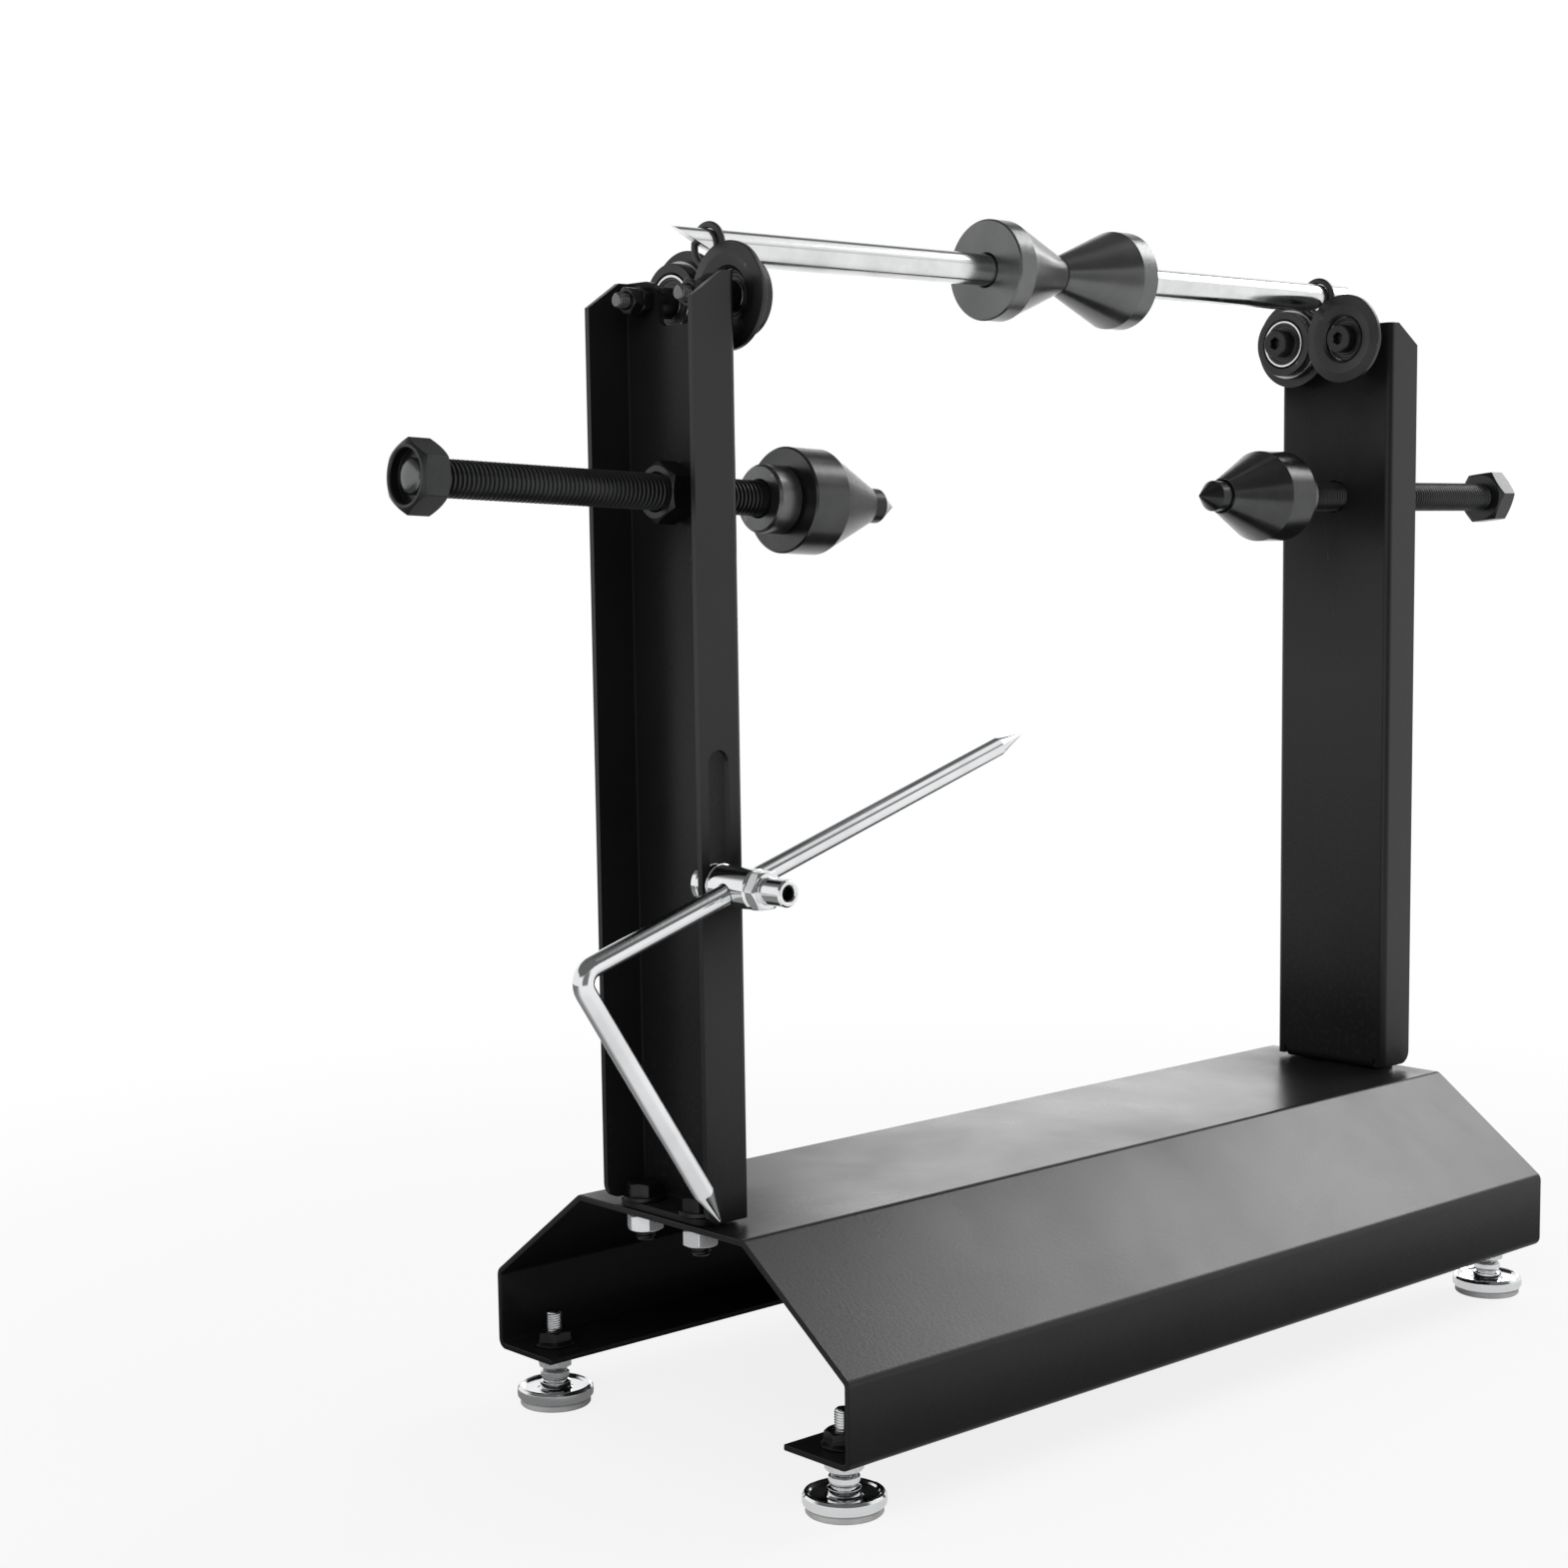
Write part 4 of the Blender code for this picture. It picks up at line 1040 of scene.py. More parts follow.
def upright_mesh(slotted):
    """The right-hand upright. The left one is the same, turned half round."""
    channel = drawn_out(channel_outline, (0, 0, peak + 0.024))
    side_keep = drawn_out([(x, -0.05, z) for x, z in side_view], (0, 0.1, 0))
    front_keep = drawn_out([(0.19, y, z) for y, z in front_view], (0.05, 0, 0))
    dip_cut = drawn_out([(tool_x, y, z) for y, z in dip], (cut_x - tool_x, 0, 0))
    out = along_x(RIGHT)
    holes = [rod_tool(rod_hole, *drill, (web_inner_x, 0, truing_height), out, 64)]
    for end, _ in ends:
        axle_place = (web_inner_x, end * roller_y, axle_height)
        bolt_place = (web_inner_x, end * bolt_y, hanging_bolt)
        holes.append(rod_tool(axle_hole, *drill, axle_place, out))
        holes.append(rod_tool(bolt_hole, *drill, bolt_place, out))
    if slotted:
        slot = arc(slot_x, slot_high, slot_half, 0, 180)
        slot += arc(slot_x, slot_low, slot_half, 180, 360)
        holes.append(drawn_out([(x, 0.025, z) for x, z in slot], (0, 0.02, 0)))
    mesh = carved(channel, keeps=[side_keep, front_keep], cuts=[dip_cut, joined(*holes)])
    return eased(fold_tab(mesh), sheet_edge)


for side, word in sides:
    channel_mesh = upright_mesh(slotted=side == LEFT)
    print(word, "upright faces", len(channel_mesh.polygons))
    half_turn = turned(180) if side == LEFT else None
    fit("sheet_upright_" + word, channel_mesh, "black_powder_coat", "frame", (0, 0, top_z),
        half_turn, word + "_upright")

# %% [markdown]
# ## Bolts and nuts of the uprights
#
# Four black hexagon bolts with a round washer face hold the uprights. A bolt is a head
# and a thread, joined into one mesh, with its underside at height zero. The plated nuts
# sit under the base, where only a low view shows them. Each pair stands at an angle of
# its own, as a hand with a key leaves them.

# %% Upright bolts
bolt_across = 0.013
bolt_radius, bolt_pitch = 0.0039, 0.00125
nut_length = 0.0065
bolt_seat = top_z + sheet + gap * 2
nut_seat = top_z - sheet - gap - nut_length
bolt_tail = -(gap * 3 + sheet * 2 + nut_length + 0.004)
for side, end, tag in corners:
    x, y = side * bolt_x, end * bolt_y
    turn = turned(11 + 17 * side + 9 * end)
    head = hex_head(bolt_across, height=0.0055, collar=0.0085, collar_height=0.0016)
    bolt = joined(head, thread(bolt_radius, bolt_pitch, bolt_tail, 0.0004, steps=28))
    nut = hex_nut(bolt_across, nut_length, bore=0.0041)
    fit("screw_upright_" + tag, bolt, "black_bolts", "frame", (x, y, bolt_seat), turn,
        "upright_bolt_" + tag)
    fit("nut_upright_" + tag, nut, "zinc_nuts", "frame", (x, y, nut_seat), turn,
        "upright_nut_" + tag)
print("upright bolts fitted")

# %% [markdown]
# ## The levelling feet
#
# A foot is a chromed cup with a rolled bead, a short ringed neck and a threaded stud. It
# stands on a pale nylon pad. A bright nut locks it under the lip of the base, and a dark
# flanged nut sits on top of the lip.

# %% Outlines of a foot
lip_low = top_z - 0.076
lip_top = lip_low + sheet
cup_low = 0.0031
cup_top = cup_low + 0.0052
neck_top = cup_top + 0.0070
stud_top = lip_top + 0.0145
cup_outline = [
    (0.0110, cup_low), (0.0152, cup_low), (0.0159, cup_low + 0.0009),
    (0.0160, cup_low + 0.0022), (0.0158, cup_top - 0.0012), (0.0151, cup_top - 0.0002),
    (0.0142, cup_top), (0.0134, cup_top - 0.0004), (0.0128, cup_top - 0.0012),
    (0.0074, cup_top - 0.0016), (0.0066, cup_top - 0.0008), (0.0064, cup_top + 0.0014),
    (0.0052, cup_top + 0.0022), (0.0052, cup_top + 0.0030), (0.0060, cup_top + 0.0036),
    (0.0060, neck_top - 0.0012), (0.0048, neck_top - 0.0002),
]
pad_outline = [
    (0.0060, 0.0006), (0.0066, 0.0), (0.0142, 0.0), (0.0148, 0.0006), (0.0147, 0.0022),
    (0.0140, 0.0028),
]


def flanged_nut(across, length, bore, flange):
    """A nut along local Z whose foot spreads into a round flange."""
    face = across / 2 * face_share

    def outline_at(reach, fall):
        return [
            (bore, bore_chamfer), (bore + bore_chamfer, 0), (flange, 0), (flange, 0.0008),
            (reach + 0.0002, 0.0020), (reach, length - fall), (face, length),
            (bore + bore_chamfer, length), (bore, length - bore_chamfer),
        ]

    return hexed(outline_at, across, face)


print("cup outline has", len(cup_outline), "points")

# %% Place the feet
foot_edge = 0.0003
stud_radius, stud_pitch = 0.0035, 0.0010
lock_length, top_length = 0.0064, 0.0062
stud_bore = 0.0036
for side, end, tag in corners:
    x, y = side * foot_x, end * foot_y
    body = "foot_" + tag
    turn = turned(21 + 13 * side - 8 * end)
    cup = lathe(cup_outline, edge=foot_edge)
    stud = thread(stud_radius, stud_pitch, neck_top - 0.001, stud_top, 36, 0.30, point=0.0009)
    glide = joined(cup, stud)
    pad = lathe(pad_outline, edge=foot_edge)
    lock = hex_nut(bolt_across, lock_length, stud_bore)
    top = flanged_nut(bolt_across, top_length, stud_bore, flange=0.0086)
    fit("glide_" + tag, glide, "bright_chrome", body, (x, y, 0), None, "foot_glide_" + tag)
    fit("glide_pad_" + tag, pad, "grey_nylon_pads", body, (x, y, 0), None, "foot_pad_" + tag)
    fit("glide_lock_nut_" + tag, lock, "zinc_nuts", "frame", (x, y, lip_low - gap - lock_length),
        turn, "foot_lock_nut_" + tag)
    fit("glide_top_nut_" + tag, top, "black_bolts", "frame", (x, y, lip_top + gap), turn,
        "foot_top_nut_" + tag)
print("feet fitted")

# %% [markdown]
# ## The rollers
#
# The shaft lies in the valleys between two pairs of rollers. Each roller is a black
# stepped wheel with a wide rim, a bright band beside the rim, and a ball bearing in its
# middle. The two wheels of a pair are turned opposite ways, so that their rims pass each
# other. All of it is turned work, drawn along local Z and laid along X.

# %% Roller wheels and bands
rim_reach = 0.0205
tread_reach = 0.0153
wheel_width = 0.0105
rim_width = 0.0030
wheel_bore = 0.0113
lip_bore = 0.0100
lip_depth = 0.0031
band_low = rim_width + 0.0018
band_high = band_low + 0.0016
wheel_outline = [
    (wheel_bore, lip_depth), (lip_bore, lip_depth), (lip_bore, 0.0018),
    (lip_bore + 0.0014, 0.0008), (lip_bore + 0.0045, 0.0002), (lip_bore + 0.0060, 0.0),
    (rim_reach, 0.0008), (rim_reach, rim_width), (tread_reach + 0.0006, rim_width),
    (tread_reach, rim_width + 0.0006), (tread_reach, wheel_width),
    (wheel_bore + 0.0006, wheel_width), (wheel_bore, wheel_width - 0.0006),
]
band_outline = [(0.0148, band_low), (0.0164, band_low), (0.0164, band_high), (0.0148, band_high)]


def wheel_ring(outline, rim_first, edge):
    """A ring of the wheel, whose rim lies at local Z zero or at the far end."""
    if not rim_first:
        outline = [(reach, wheel_width - along) for reach, along in outline]
    return lathe(outline, loop=True, edge=edge, steps=96)


print("wheel and band ready")

# %% [markdown]
# ### The bearing
#
# A ball bearing shows a bright outer race, a dark seal that is set back a little, and a
# thin inner race. The seal is its own piece, because it has its own finish.

# %% Bearings
bearing_reach = 0.0110
bearing_width = 0.0070
inner_bore, inner_reach, outer_bore = 0.0042, 0.0058, 0.0099
seal_depth, groove_depth, seal_width = 0.0005, 0.0003, 0.0010


def race_mesh():
    """The two steel races, as two rings in one mesh."""
    rings = []
    for low, high in ((outer_bore, bearing_reach), (inner_bore, inner_reach)):
        outline = [(low, 0), (high, 0), (high, bearing_width), (low, bearing_width)]
        rings.append(lathe(outline, True, 0.0003))
    return joined(*rings)


def seal_mesh():
    """The dark seals on both faces of the bearing, with a shallow groove."""
    seals = []
    for face, way in ((seal_depth, 1), (bearing_width - seal_depth, -1)):
        groove = face + way * groove_depth
        back = face + way * seal_width
        outline = [
            (inner_reach, face), (0.0072, face), (0.0075, groove), (0.0086, groove),
            (0.0089, face), (outer_bore, face), (outer_bore, back), (inner_reach, back),
        ]
        seals.append(lathe(outline, True, 0.0001))
    return joined(*seals)


print("bearing ready")

# %% [markdown]
# ### The axle
#
# The axle is a socket screw: a round head with a hexagonal hole for the key, a shoulder
# through the bearing, a spacer, and a thread through the web, where two thin nuts lock
# each other. The hole is part of the same skin: its outline starts on the hexagon at the
# bottom of the hole and goes over the rim of the head.

# %% Axles and their nuts
head_reach = 0.0065
head_low = -gap - 0.0060
key_across = 0.0050
standoff = 0.0098
shoulder, spacer, axle_thread = 0.0039, 0.0060, 0.0030
axle_pitch = 0.0008
axle_end = bearing_width + standoff + sheet + 0.0145
thread_low = bearing_width + standoff - gap
thin_nut = {"across": 0.0100, "length": 0.0045, "bore": 0.0031}
thin_nut_step = 0.0049
thin_nut_lag = math.degrees(0.35)


def axle_outline(socket, _):
    """Outline of the screw's head, shoulder and spacer in one direction."""
    return [
        (socket, head_low + 0.0030), (socket, head_low + 0.0003), (socket + 0.0003, head_low),
        (head_reach - 0.0005, head_low), (head_reach, head_low + 0.0005), (head_reach, -gap),
        (shoulder, -gap), (shoulder, bearing_width + gap), (spacer, bearing_width + gap),
        (spacer, thread_low), (axle_thread, thread_low),
    ]


def axle_mesh():
    """The socket screw, up to the nuts."""
    screw = hexed(axle_outline, key_across, loop=False, edge=0.00025, softness=0.0002)
    tail = thread(axle_thread, axle_pitch, thread_low - 0.0005, axle_end - 0.0052, steps=28)
    return joined(screw, tail)


def nuts_mesh():
    """Two thin nuts, one turned a little against the other."""
    second = moved(hex_nut(**thin_nut), (0, 0, thin_nut_step), turned(thin_nut_lag))
    return joined(hex_nut(**thin_nut), second)


def axle_tip_mesh():
    """The bright end of the axle that stands out of the nuts."""
    return thread(axle_thread, axle_pitch, axle_end - 0.0054, axle_end, 28, 0.4, point=0.0006)


print("axle ready")

# %% Place the four rollers
bearing_x = 0.1877
near_wheel_x = 0.1842
for side, end, tag in corners:
    body = "roller_" + tag
    rim_first = side == -end
    wheel_x = near_wheel_x if rim_first else bearing_x
    out = along_x(side)
    y, z = end * roller_y, top_z + axle_height
    hub = (side * bearing_x, y, z)
    rim = (side * wheel_x, y, z)
    web = (side * cut_x, y, z)
    wheel = wheel_ring(wheel_outline, rim_first, 0.0004)
    band = wheel_ring(band_outline, rim_first, 0.0003)
    fit("wheel_" + tag, wheel, "black_roller_wheels", body, rim, out, "roller_wheel_" + tag)
    fit("wheel_band_" + tag, band, "band_steel", body, rim, out)
    fit("bearing_races_" + tag, race_mesh(), "bearing_steel", body, hub, out,
        "roller_bearing_" + tag)
    fit("bearing_seals_" + tag, seal_mesh(), "rubber_rings", body, hub, out)
    fit("axle_" + tag, axle_mesh(), "black_bolts", "frame", hub, out, "roller_axle_" + tag)
    fit("axle_tip_" + tag, axle_tip_mesh(), "black_oxide_cones", "frame", hub, out)
    fit("axle_nuts_" + tag, nuts_mesh(), "black_bolts", "frame", web, out, "roller_nut_" + tag)
print("rollers fitted")

# %% [markdown]
# ## The balance shaft
#
# The shaft is ground steel bar. Both of its ends are ground off at a long slant, to a
# point that finds its way through a hub. `bisect_plane` cuts a mesh with a plane and
# throws one side away, which is just what a grinding wheel does. Rubber rings keep the
# shaft in its place between the rollers.

# %% Balance shaft
shaft_reach = 0.210
shaft_radius = 0.0066
slant_length = 0.032
slant_turn = -160
ring_radius = 0.00138
ring_seat = shaft_radius + ring_radius + gap / 2
ring_x = 0.1905


def ground_bar():
    """A bar along local Z whose ends are cut off slantwise."""
    heights = (-shaft_reach, -0.05, 0.05, shaft_reach)
    bar = lathe([(shaft_radius, height) for height in heights], steps=96)
    bm = bmesh.new()
    bm.from_mesh(bar)
    for side, _ in sides:
        bmesh.ops.bisect_plane(
            bm,
            geom=bm.verts[:] + bm.edges[:] + bm.faces[:],
            plane_co=(shaft_radius, 0, side * shaft_reach),
            plane_no=(-slant_length, 0, side * shaft_radius * 2),
            clear_outer=True,
        )
        close_ends(bm)
    return eased(finished(bm), 0.00015)


fit("shaft_bar", ground_bar(), "bright_ground_steel", "shaft", shaft_place,
    turned(slant_turn, "X") @ along_x(RIGHT), "balance_shaft")
for side, word in sides:
    band = lathe(arc(ring_seat, 0, ring_radius, 0, 345, 23), loop=True, edge=0, steps=64)
    fit("shaft_band_" + word, band, "rubber_rings", "shaft_rings",
        (side * ring_x, 0, shaft_place[2]), along_x(side), "shaft_ring_" + word)
print("shaft is", shaft_reach * 2000, "mm long")

# %% [markdown]
# ## The cones on the shaft
#
# Two cones slide on the shaft and meet in the middle of the hub, which they centre. Each
# is turned from one bar: a taper, a short cylindrical rim, a small chamfer, and a flat
# back with a slightly countersunk bore.

# %% Shaft cones
cone_reach = 0.021
cone_bore = shaft_radius + gap
cone_length = 0.0435
cone_meeting = 0.0055
shaft_cone_outline = [
    (cone_bore, 0.0006), (cone_bore + 0.0006, 0), (cone_reach - 0.0006, 0),
    (cone_reach, 0.0006), (cone_reach, 0.0095), (0.0080, cone_length),
    (cone_bore + 0.0005, cone_length), (cone_bore, cone_length - 0.0005),
]
for side, word in sides:
    cone = lathe(shaft_cone_outline, loop=True, edge=0.0003, steps=128)
    back_x = cone_meeting + side * (cone_length + gap)
    fit("wheel_cone_" + word, cone, "black_oxide_cones", "shaft_cone_" + word,
        (back_x, 0, shaft_place[2]), along_x(-side), "shaft_cone_" + word)
print("cones meet at x", cone_meeting)

# %% [markdown]
# ## The truing sets
#
# A screwed rod passes through each web, held by a nut. Its tip carries a cone, a collar
# behind the cone takes the push, and a deep hexagon at the outer end is turned by hand.
# The rod on the left hangs down a little in its clearance hole, so its whole set is
# tilted about the place where it passes the web.

# %% Rod and hand nut
rod_radius = 0.007
rod_length = 0.238
tip_length = 0.0090
rod_pitch = 0.002
thread_start = 0.0165
hand_across, hand_face, hand_length = 0.024, 0.01116, 0.012
hand_hollow, hand_bore, hollow_depth = 0.0098, 0.0050, 0.0040
hand_nut_low = rod_length - hand_length
dome_reach, dome_height = 0.0066, 0.0026
dome_low = rod_length - 0.0030


def rod_mesh():
    """The screwed rod with a plain nose and a ground tip at local Z zero."""
    nose = [(0.0004, 0.0), (rod_radius - 0.0002, tip_length), (rod_radius, tip_length + 0.0004)]
    nose += [(rod_radius, 0.0162), (rod_radius - 0.0010, 0.0170)]
    plain = lathe(nose, edge=0.0003, steps=96)
    screw = thread(rod_radius, rod_pitch, thread_start, hand_nut_low + 0.001, 48, 0.42, 0.0002)
    return joined(plain, screw)


def hand_outline(reach, fall):
    """Outline of the deep hexagon, hollow at its outer face, in one direction."""
    return [
        (hand_bore, 0), (hand_face, 0), (reach, fall), (reach, hand_length - fall),
        (hand_face, hand_length), (hand_hollow + 0.0004, hand_length),
        (hand_hollow, hand_length - 0.0005), (hand_hollow, hand_length - hollow_depth),
        (hand_bore, hand_length - hollow_depth),
    ]


def hand_nut_mesh(turn_deg):
    """The hand nut, turned as far as it was left."""
    shell = hexed(hand_outline, hand_across, hand_face, loop=False, edge=0.0003, softness=0.0008)
    return moved(shell, (0, 0, hand_nut_low), turned(turn_deg))


def rod_end_mesh():
    """The rounded end of the rod that shows inside the hand nut."""
    dome = [(dome_reach, dome_low - 0.0020), (dome_reach, dome_low)]
    for tenth in range(2, 15, 2):
        rise = dome_height * math.sin(tenth / 10)
        dome.append((dome_reach * math.cos(tenth / 10), dome_low + rise))
    return lathe(dome, edge=0.0001)


print("rods are", rod_length * 1000, "mm long")

# %% Cone and collar
truing_bore = rod_radius + gap
taper, rim_length = 0.0270, 0.0175
truing_length = taper + rim_length
truing_cone_outline = [
    (truing_bore, 0.0005), (truing_bore + 0.0004, 0), (0.0082, 0), (cone_reach, taper),
    (cone_reach, truing_length - 0.0007), (cone_reach - 0.0007, truing_length),
    (truing_bore + 0.0006, truing_length), (truing_bore, truing_length - 0.0006),
]
collar_reach, collar_length = 0.0135, 0.0120
collar_chamfer, bore_edge = 0.0010, 0.0005
set_screw_across = 0.0025
collar_outline = [
    (truing_bore, bore_edge), (truing_bore + bore_edge, 0), (collar_reach - collar_chamfer, 0),
    (collar_reach, collar_chamfer), (collar_reach, collar_length - collar_chamfer),
    (collar_reach - collar_chamfer, collar_length), (truing_bore + bore_edge, collar_length),
    (truing_bore, collar_length - bore_edge),
]


def set_screw_outline(socket, _):
    """Outline of the small screw that holds the collar on the rod."""
    return [(socket, -0.0012), (socket, -0.0002), (0.0018, 0), (0.0022, -0.0004), (0.0022, -0.003)]


def collar_mesh():
    """The collar with its small screw."""
    ring = lathe(collar_outline, loop=True, edge=0.0003, steps=96)
    screw = hexed(set_screw_outline, set_screw_across, loop=False, edge=0.0001, softness=0.0001)
    screw_place = (collar_reach - 0.0001, 0, collar_length / 2)
    return joined(ring, moved(screw, screw_place, turned(90, "Y")))


print("cone is", round(truing_length * 1000, 1), "mm long")

# %% Place both truing sets
cone_step = 0.0160
collar_step = cone_step + truing_length + gap
web_nut_across, web_nut_length = 0.021, 0.011
tips = {"left": (0.0942, 2.6, 0), "right": (0.1028, 0.0, 24)}
for side, word in sides:
    tip_x, droop_deg, nut_turn = tips[word]
    droop = math.radians(droop_deg)
    turn = turned(-side * droop_deg, "Y") @ along_x(side)
    out = (turn @ Vector((0, 0, 1, 0))).xyz
    crossing = Vector((side * web_outer_x, 0, top_z + truing_height))
    tip = crossing - out * (web_outer_x - tip_x) / math.cos(droop)
    nut_lean = web_nut_across / math.sqrt(3) * math.sin(droop)
    rod_body = "truing_rod_" + word
    rim_cone = lathe(truing_cone_outline, True, 0.0003, 128)
    web_nut = hex_nut(web_nut_across, web_nut_length, truing_bore)
    fit("rim_cone_" + word, rim_cone, "black_rim_cones", "truing_cone_" + word,
        tip + out * cone_step, turn, "truing_cone_" + word)
    fit("rim_rod_" + word, rod_mesh(), "black_oxide_threads", rod_body, tip, turn,
        "truing_rod_" + word)
    fit("rim_hand_nut_" + word, hand_nut_mesh(nut_turn), "black_oxide_threads", rod_body, tip, turn)
    fit("rim_rod_end_" + word, rod_end_mesh(), "black_oxide_cones", rod_body, tip, turn)
    fit("rim_collar_" + word, collar_mesh(), "black_oxide_cones", rod_body,
        tip + out * collar_step, turn, "truing_collar_" + word)
    fit("rim_web_nut_" + word, web_nut, "black_oxide_threads", "frame",
        crossing + out * (gap + nut_lean), turn, "truing_web_nut_" + word)
print("truing sets fitted")

# %% [markdown]
# ## The pointer
#
# The pointer is a chromed rod with two ground points and one bend. It is swept: a ring
# of points is set square to the path at each step, and made smaller towards the ends.

# %% Pointer rod
needle_radius = 0.0040
needle_y = -0.0425
arm_tilt = 17.5
leg_tilt = arm_tilt - 74.6
short_arm, long_arm, leg_length = 0.0810, 0.1615, 0.1205
needle_bend = 0.0062
arm_way = turned_way(Vector((1, 0)), math.radians(arm_tilt))
leg_way = turned_way(Vector((1, 0)), math.radians(leg_tilt))
elbow = -arm_way * short_arm
upper_tip = arm_way * long_arm
lower_tip = elbow + leg_way * leg_length
point_length = 0.0150
point_profile = ((0.0, 0.05), (0.03, 0.12), (0.35, 0.40), (0.70, 0.72), (0.93, 0.95), (1.0, 1.0))
clamp_z = top_z + pointer_height


def ground_point(tip, way):
    """Rings from a tip back to the full thickness, as (point, radius) pairs."""
    return [
        (tip - way * point_length * part, needle_radius * share) for part, share in point_profile
    ]


def swept(path, steps=48):
    """A round bar along a path in the XZ plane, given as (point, radius) pairs."""
    rings = []
    for index, (point, radius) in enumerate(path):
        before = path[max(index - 1, 0)][0]
        after = path[min(index + 1, len(path) - 1)][0]
        across = left_of((after - before).normalized()) * radius
        ring = []
        for angle in around(steps):
            flat = point + across * math.cos(angle)
            ring.append((flat.x, radius * math.sin(angle), flat.y))
        rings.append(ring)
    return skin(rings)


bend = [point for point, _ in bent_line([upper_tip, elbow, lower_tip], needle_bend)][1:-1]
straight = [arm_way * 0.08, arm_way * 0.02, *bend, elbow + leg_way * 0.05]
needle_path = ground_point(upper_tip, arm_way)
needle_path += [(point, needle_radius) for point in straight]
needle_path += ground_point(lower_tip, leg_way)[::-1]
fit("needle_rod", swept(needle_path), "bright_chrome", "pointer_rod",
    (-slot_x, needle_y, clamp_z), None, "pointer_rod")
print("pointer rings", len(needle_path))

# %% [markdown]
# ### The clamp
#
# A round post stands on the flange of the left upright. Its cross hole takes the rod, a
# hollow hexagon screw at the front presses on the rod, and a round nut behind the flange
# lets the whole clamp slide along the slot.

# %% Post
face_out, face_in = turned(90, "X"), turned(-90, "X")
post_foot_y = flange_front - gap
post_length = 0.0215
post_reach = 0.0078
post_outline = [
    (0.0045, -0.0113), (0.0045, 0.0), (0.0083, 0.0), (0.0083, 0.0009), (post_reach, 0.0013),
    (post_reach, post_length - 0.0008), (0.0070, post_length), (0.0030, post_length),
]
hole_turn = turned(arm_tilt) @ turned(90, "Y")
needle_hole = rod_tool(needle_radius + gap, -0.012, 0.012, (0, 0, 0.0102), hole_turn, 64)
post = eased(carved(lathe(post_outline, steps=96), cuts=[needle_hole]), 0.0002)
fit("needle_post", post, "bright_chrome", "pointer_clamp", (-slot_x, post_foot_y, clamp_z),
    face_out, "pointer_post")
print("post is", post_length * 1000, "mm long")

# %% Clamp screw and slide nut
clamp_across, clamp_crown, clamp_face, clamp_head = 0.0140, 0.0068, 0.0066, 0.0050
stem_reach, stem_bore, stem_end = 0.0052, 0.0030, 0.0165
clamp_place = (-slot_x, post_foot_y - post_length - gap, clamp_z)
slide_place = (-slot_x, flange_front + sheet + gap, clamp_z)


def clamp_outline(reach, fall):
    """Outline of the clamp screw: a hollow round stem on a hexagon."""
    return [
        (stem_bore, 0.0), (clamp_face, 0.0), (reach, fall), (reach, clamp_head - fall),
        (clamp_face, clamp_head), (stem_reach, clamp_head), (stem_reach, 0.0157),
        (0.0046, stem_end), (0.0034, stem_end), (stem_bore, 0.0160), (stem_bore, 0.0115),
    ]


slide_nut_outline = [
    (0.0048, 0.0003), (0.0051, 0.0), (0.0080, 0.0), (0.0080, 0.0014), (0.0070, 0.0018),
    (0.0070, 0.0030), (0.0074, 0.0034), (0.0074, 0.0058), (0.0064, 0.0069),
    (0.0051, 0.0069), (0.0048, 0.0066),
]
liner_outline = [
    (0.0010, 0.0117), (0.0029, 0.0117), (0.0029, 0.0158), (0.0026, 0.0158),
    (0.0026, 0.0121), (0.0010, 0.0121),
]
clamp = hexed(clamp_outline, clamp_across, clamp_crown, loop=False, edge=0.0003)
slide_nut = lathe(slide_nut_outline, loop=True, edge=0.0003)
liner = lathe(liner_outline, loop=True, edge=0.0001)
fit("needle_clamp", clamp, "bright_chrome", "pointer_clamp", clamp_place, face_out,
    "pointer_clamp_screw")
fit("needle_nut", slide_nut, "bright_chrome", "pointer_slide", slide_place, face_in,
    "pointer_slide_nut")
fit("needle_clamp_bore", liner, "black_bolts", "pointer_clamp", clamp_place, face_out)
print("pieces so far", len(pieces))

# %% [markdown]
# ## Floor and light
#
# The stand is photographed on white. The floor is a wide pale disc that turns pure white
# towards its rim, so that no edge shows. The camera, a mirror or glass sees it glow, and
# all other rays see plain paper. A Light Path node tells these rays apart. In mirrors the
# floor is a little darker close to the stand, where the stand stops the light, and much
# darker away to the rear left.

# %% Helpers for floor and world
def facing(tree, way, toward):
    """How well one direction agrees with another, from -1 to 1."""
    links = {0: way, 1: toward}
    node = add_node(tree, "ShaderNodeVectorMath", links, operation="DOT_PRODUCT")
    return node.outputs["Value"]


def light_path(tree):
    """The kinds of ray, and a mask of those that see: camera, mirror and glass."""
    rays = add_node(tree, "ShaderNodeLightPath").outputs
    seen = maths(tree, "MAXIMUM", rays["Is Camera Ray"], rays["Is Glossy Ray"])
    return rays, maths(tree, "MAXIMUM", seen, rays["Is Transmission Ray"])


print("ray helpers ready")

# %% Floor
floor_reach = 1.6
floor_sides = 96
floor_drop = 0.0002
floor_turns = around(floor_sides)
floor_ring = [(floor_reach * math.cos(a), floor_reach * math.sin(a), 0) for a in floor_turns]
floor_mesh = bpy.data.meshes.new("studio_floor")
floor_mesh.from_pydata(floor_ring, [], [list(range(floor_sides))])
floor = linked("studio_floor", floor_mesh)
floor.location.z = floor_z - floor_drop
floor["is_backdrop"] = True
print("floor reaches", floor_reach, "m")

